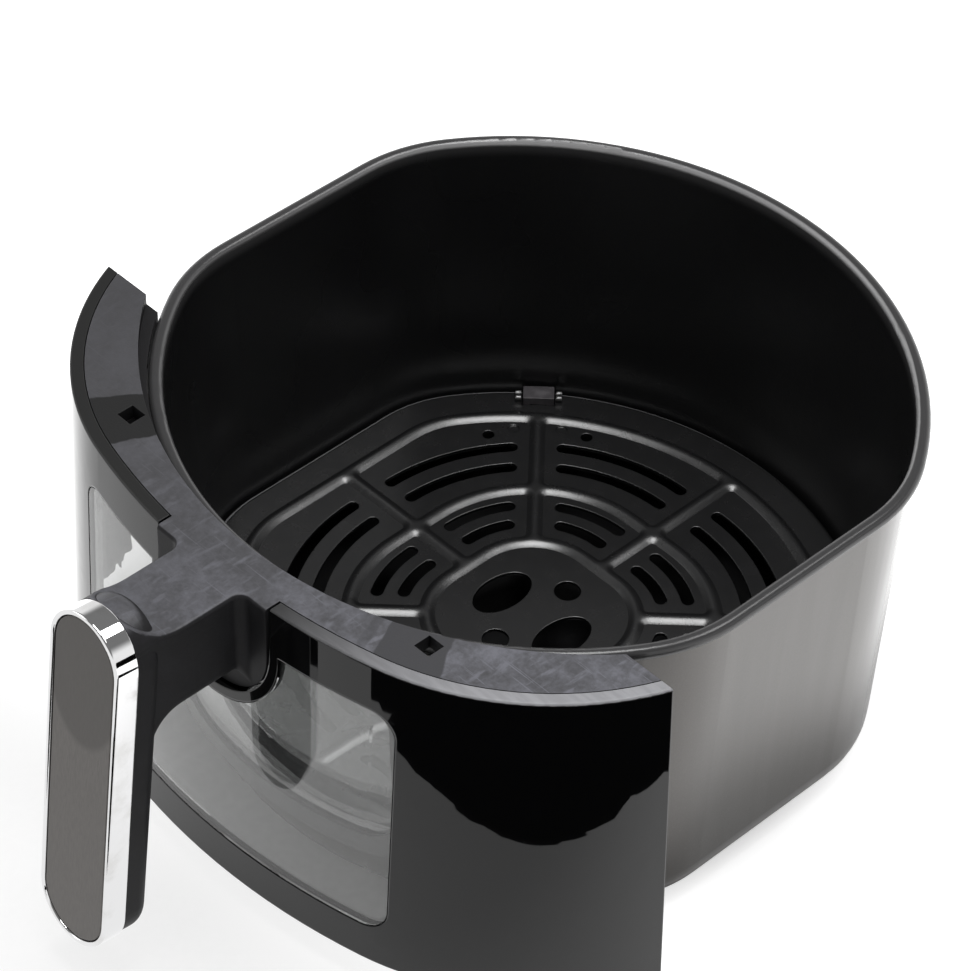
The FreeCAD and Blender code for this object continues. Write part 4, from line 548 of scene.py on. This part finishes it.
screw_steel, add, place = new_finish("screw_plated_steel")
dull = patches(add, place, scale=350.0, detail=5.0, start=0.42, end=0.7)
grain = noise(add, place, scale=2600.0, detail=1.0)
clad(add, Base_Color=blend(add, dull, SCREW_BRIGHT, SCREW_DULL), Metallic=1.0,
     Roughness=ramp(add, grain, *NOISE_MIDDLE, *SCREW_ROUGH), Normal=soft_edges(add, grain, strength=0.05))
dress(screw_steel, *[name for name in nodes if "screw" in name])

# Grip ring
# A zinc casting with bright chrome plating, which frames the front of the grip. The plating is polished,
# with a very slow wave in it and a few finger marks.
CHROME = (0.80, 0.80, 0.805, 1)
CHROME_MARKED = (0.70, 0.695, 0.69, 1)
CHROME_ROUGH = (0.035, 0.10)
WAVE_DEPTH = 0.0006

grip_chrome, add, place = new_finish("grip_chrome_plate")
marked = patches(add, place, scale=85.0, detail=4.0, start=0.5, end=0.75)
wave = noise(add, place, scale=55.0, detail=1.0)
clad(add, Base_Color=blend(add, marked, CHROME, CHROME_MARKED), Metallic=1.0,
     Roughness=graded(add, marked, *CHROME_ROUGH),
     Normal=soft_edges(add, wave, strength=0.03, depth=WAVE_DEPTH))
dress(grip_chrome, "grip_ring")

# Grip insert
# A long domed plate of satin aluminium, dyed a warm dark grey and snapped into the ring. It is brushed
# along its length, and its top is darker in an oval.
INSERT_GREY = (0.102, 0.096, 0.091, 1)
INSERT_PALE = (0.130, 0.122, 0.116, 1)
INSERT_METAL = 0.85
INSERT_ROUGH = (0.30, 0.38)
INSERT_DARK_OVAL = (0.080, 0.075, 0.071, 1)
OVAL_CENTRE = (0.0, 0.0, 0.124)
OVAL_SPREAD = (1 / 0.0165, 0.0, 1 / 0.030)
OVAL_EDGE = (1.06, 0.94)

grip_satin, add, place = new_finish("grip_satin_aluminium")
brushed = stretched_noise(add, place, stretch=(2600, 2600, 30), detail=3.0)
oval = add("VectorMath", add("VectorMath", place, OVAL_CENTRE, operation="SUBTRACT"), OVAL_SPREAD,
           operation="MULTIPLY")
dark_oval = ramp(add, add("VectorMath", oval, operation="LENGTH", out="Value"), *OVAL_EDGE)
tone = blend(add, ramp(add, brushed, *NOISE_MIDDLE), INSERT_GREY, INSERT_PALE)
clad(add, Base_Color=blend(add, dark_oval, tone, INSERT_DARK_OVAL), Metallic=INSERT_METAL,
     Roughness=ramp(add, brushed, *NOISE_MIDDLE, *INSERT_ROUGH),
     Normal=soft_edges(add, brushed, strength=0.03))
dress(grip_satin, "grip_insert")

# Crisper plate
# A pressed steel plate with raised beads, ribs, slots and lifting holes, in a satin non-stick coat with a
# pebbled skin. The coat is painted a little paler on the crests of the beads as a painted highlight, and a
# pale line along the turned-down edge on the left is a painted highlight too.
PLATE_COAT = (0.0075, 0.0075, 0.0079, 1)
# Painted highlight on the crests of the beads.
PLATE_CREST_HIGHLIGHT = (0.014, 0.014, 0.0145, 1)
PLATE_CREST_HIGHLIGHT_LEVELS = (0.0241, 0.0246)
# Painted highlight along the turned-down edge on the left.
PLATE_EDGE_HIGHLIGHT = (0.16, 0.16, 0.165, 1)
PLATE_ROUGH = (0.255, 0.275)
PLATE_IOR = 1.8
PLATE_TOP = 0.0235
TURNED_EDGE_LEVELS = (PLATE_TOP - 0.0016, PLATE_TOP - 0.0010)
TURNED_EDGE_END = (PLATE_TOP, PLATE_TOP - 0.0001)
TURNED_EDGE_LIFT = (0.3, 0.5)
FLAT_LIFT = (0.985, 0.95)
EDGE_HIGHLIGHT_TO_LEFT = (0.03, -0.08)
BEAD_SOFT = (PLATE_TOP, PLATE_TOP + 0.0003, 0.0005, 0.0024)

plate_coat, add, place = new_finish("plate_non_stick")
height = add("SeparateXYZ", place, out="Z")
lift = add("SeparateXYZ", add("NewGeometry", out="Normal"), out="Z")
sloping = product(add, ramp(add, lift, *TURNED_EDGE_LIFT), ramp(add, lift, *FLAT_LIFT))
turned_edge = product(add, ramp(add, height, *TURNED_EDGE_LEVELS), sloping)
turned_edge = product(add, turned_edge, ramp(add, height, *TURNED_EDGE_END))
# Painted highlight: a pale line along the turned-down edge on the left.
retoned_area = product(add, turned_edge, ramp(add, add("SeparateXYZ", place, out="X"), *EDGE_HIGHLIGHT_TO_LEFT))
mottle = patches(add, place, scale=160.0, detail=5.0, start=0.35, end=0.7)
pebble = noise(add, place, scale=1300.0)
# Painted highlight: the coat is painted a little paler on the crests of the beads.
coat = blend(add, ramp(add, height, *PLATE_CREST_HIGHLIGHT_LEVELS), PLATE_COAT, PLATE_CREST_HIGHLIGHT)
clad(add, Base_Color=blend(add, retoned_area, coat, PLATE_EDGE_HIGHLIGHT), Roughness=graded(add, mottle, *PLATE_ROUGH),
     IOR=PLATE_IOR, Normal=soft_edges(add, pebble, strength=0.05, radius=ramp(add, height, *BEAD_SOFT)))
dress(plate_coat, "crisper_plate")

# Bumpers
# Four silicone blocks pushed over the plate's corners, which keep it off the pan's wall. They are dark
# grey and matt, with a little dust in the moulded skin.
BUMPER_GREY = (0.050, 0.046, 0.050, 1)
BUMPER_DUSTY = (0.078, 0.073, 0.078, 1)
BUMPER_ROUGH = (0.45, 0.6)

bumper_silicone, add, place = new_finish("bumper_silicone")
dust = patches(add, place, scale=260.0, detail=5.0, start=0.4, end=0.7)
grain = noise(add, place, scale=1500.0)
clad(add, Base_Color=blend(add, dust, BUMPER_GREY, BUMPER_DUSTY), Roughness=graded(add, dust, *BUMPER_ROUGH),
     Normal=soft_edges(add, grain, strength=0.15))
dress(bumper_silicone, *[name for name in nodes if name.startswith("bumper")])

# Bumper lugs
# Pairs of small lugs pressed up from the plate on both sides of each bumper, which keep it from sliding
# along the edge. They have the plate's coat, rubbed bright on top.
LUG_SIZE = (0.0014, 0.0021, 0.0024)
LUG_REACHES = (0.1038, 0.1063)
LUG_SIDE = 0.0070
LUG_BASE = 0.0233
LUG_MIDDLE = LUG_BASE + LUG_SIZE[2] / 2
LUG_EDGE = 0.0004
LUG_TURNS = (45, 135, 225, 315)
LUG_STEEL = (0.42, 0.42, 0.42, 1)
LUG_RUBBED_LEVELS = (LUG_BASE + 0.0012, LUG_BASE + 0.0020)
LUG_SPECKLE = (0.25, 0.5, 0.5, 1.0)
LUG_ROUGH = 0.34

lug_steel, add, place = new_finish("lug_rubbed_steel")
retoned_area = ramp(add, add("SeparateXYZ", place, out="Z"), *LUG_RUBBED_LEVELS)
worn = product(add, retoned_area, ramp(add, noise(add, place, scale=1500.0, detail=3.0), *LUG_SPECKLE))
clad(add, Base_Color=blend(add, worn, PLATE_COAT, LUG_STEEL), Metallic=worn, Roughness=LUG_ROUGH)

shape = bmesh.new()
for turn in LUG_TURNS:
    for reach in LUG_REACHES:
        for side in (-LUG_SIDE, LUG_SIDE):
            stance = Matrix.Rotation(math.radians(turn), 4, "Z")
            stance @= Matrix.Translation((reach, side, LUG_MIDDLE))
            stance @= Matrix.Diagonal((*LUG_SIZE, 1))
            lug = bmesh.ops.create_cube(shape, size=1.0, matrix=stance)["verts"]
            raised = [vert for vert in lug if vert.co.z > LUG_MIDDLE]
            top = [edge for edge in shape.edges if all(vert in raised for vert in edge.verts)]
            bmesh.ops.bevel(shape, geom=top, offset=LUG_EDGE, offset_type="OFFSET", segments=3, profile=0.5,
                            affect="EDGES", material=-1)
lugs = new_object("bumper_lugs", shape, lug_steel)
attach(lugs, "crisper")
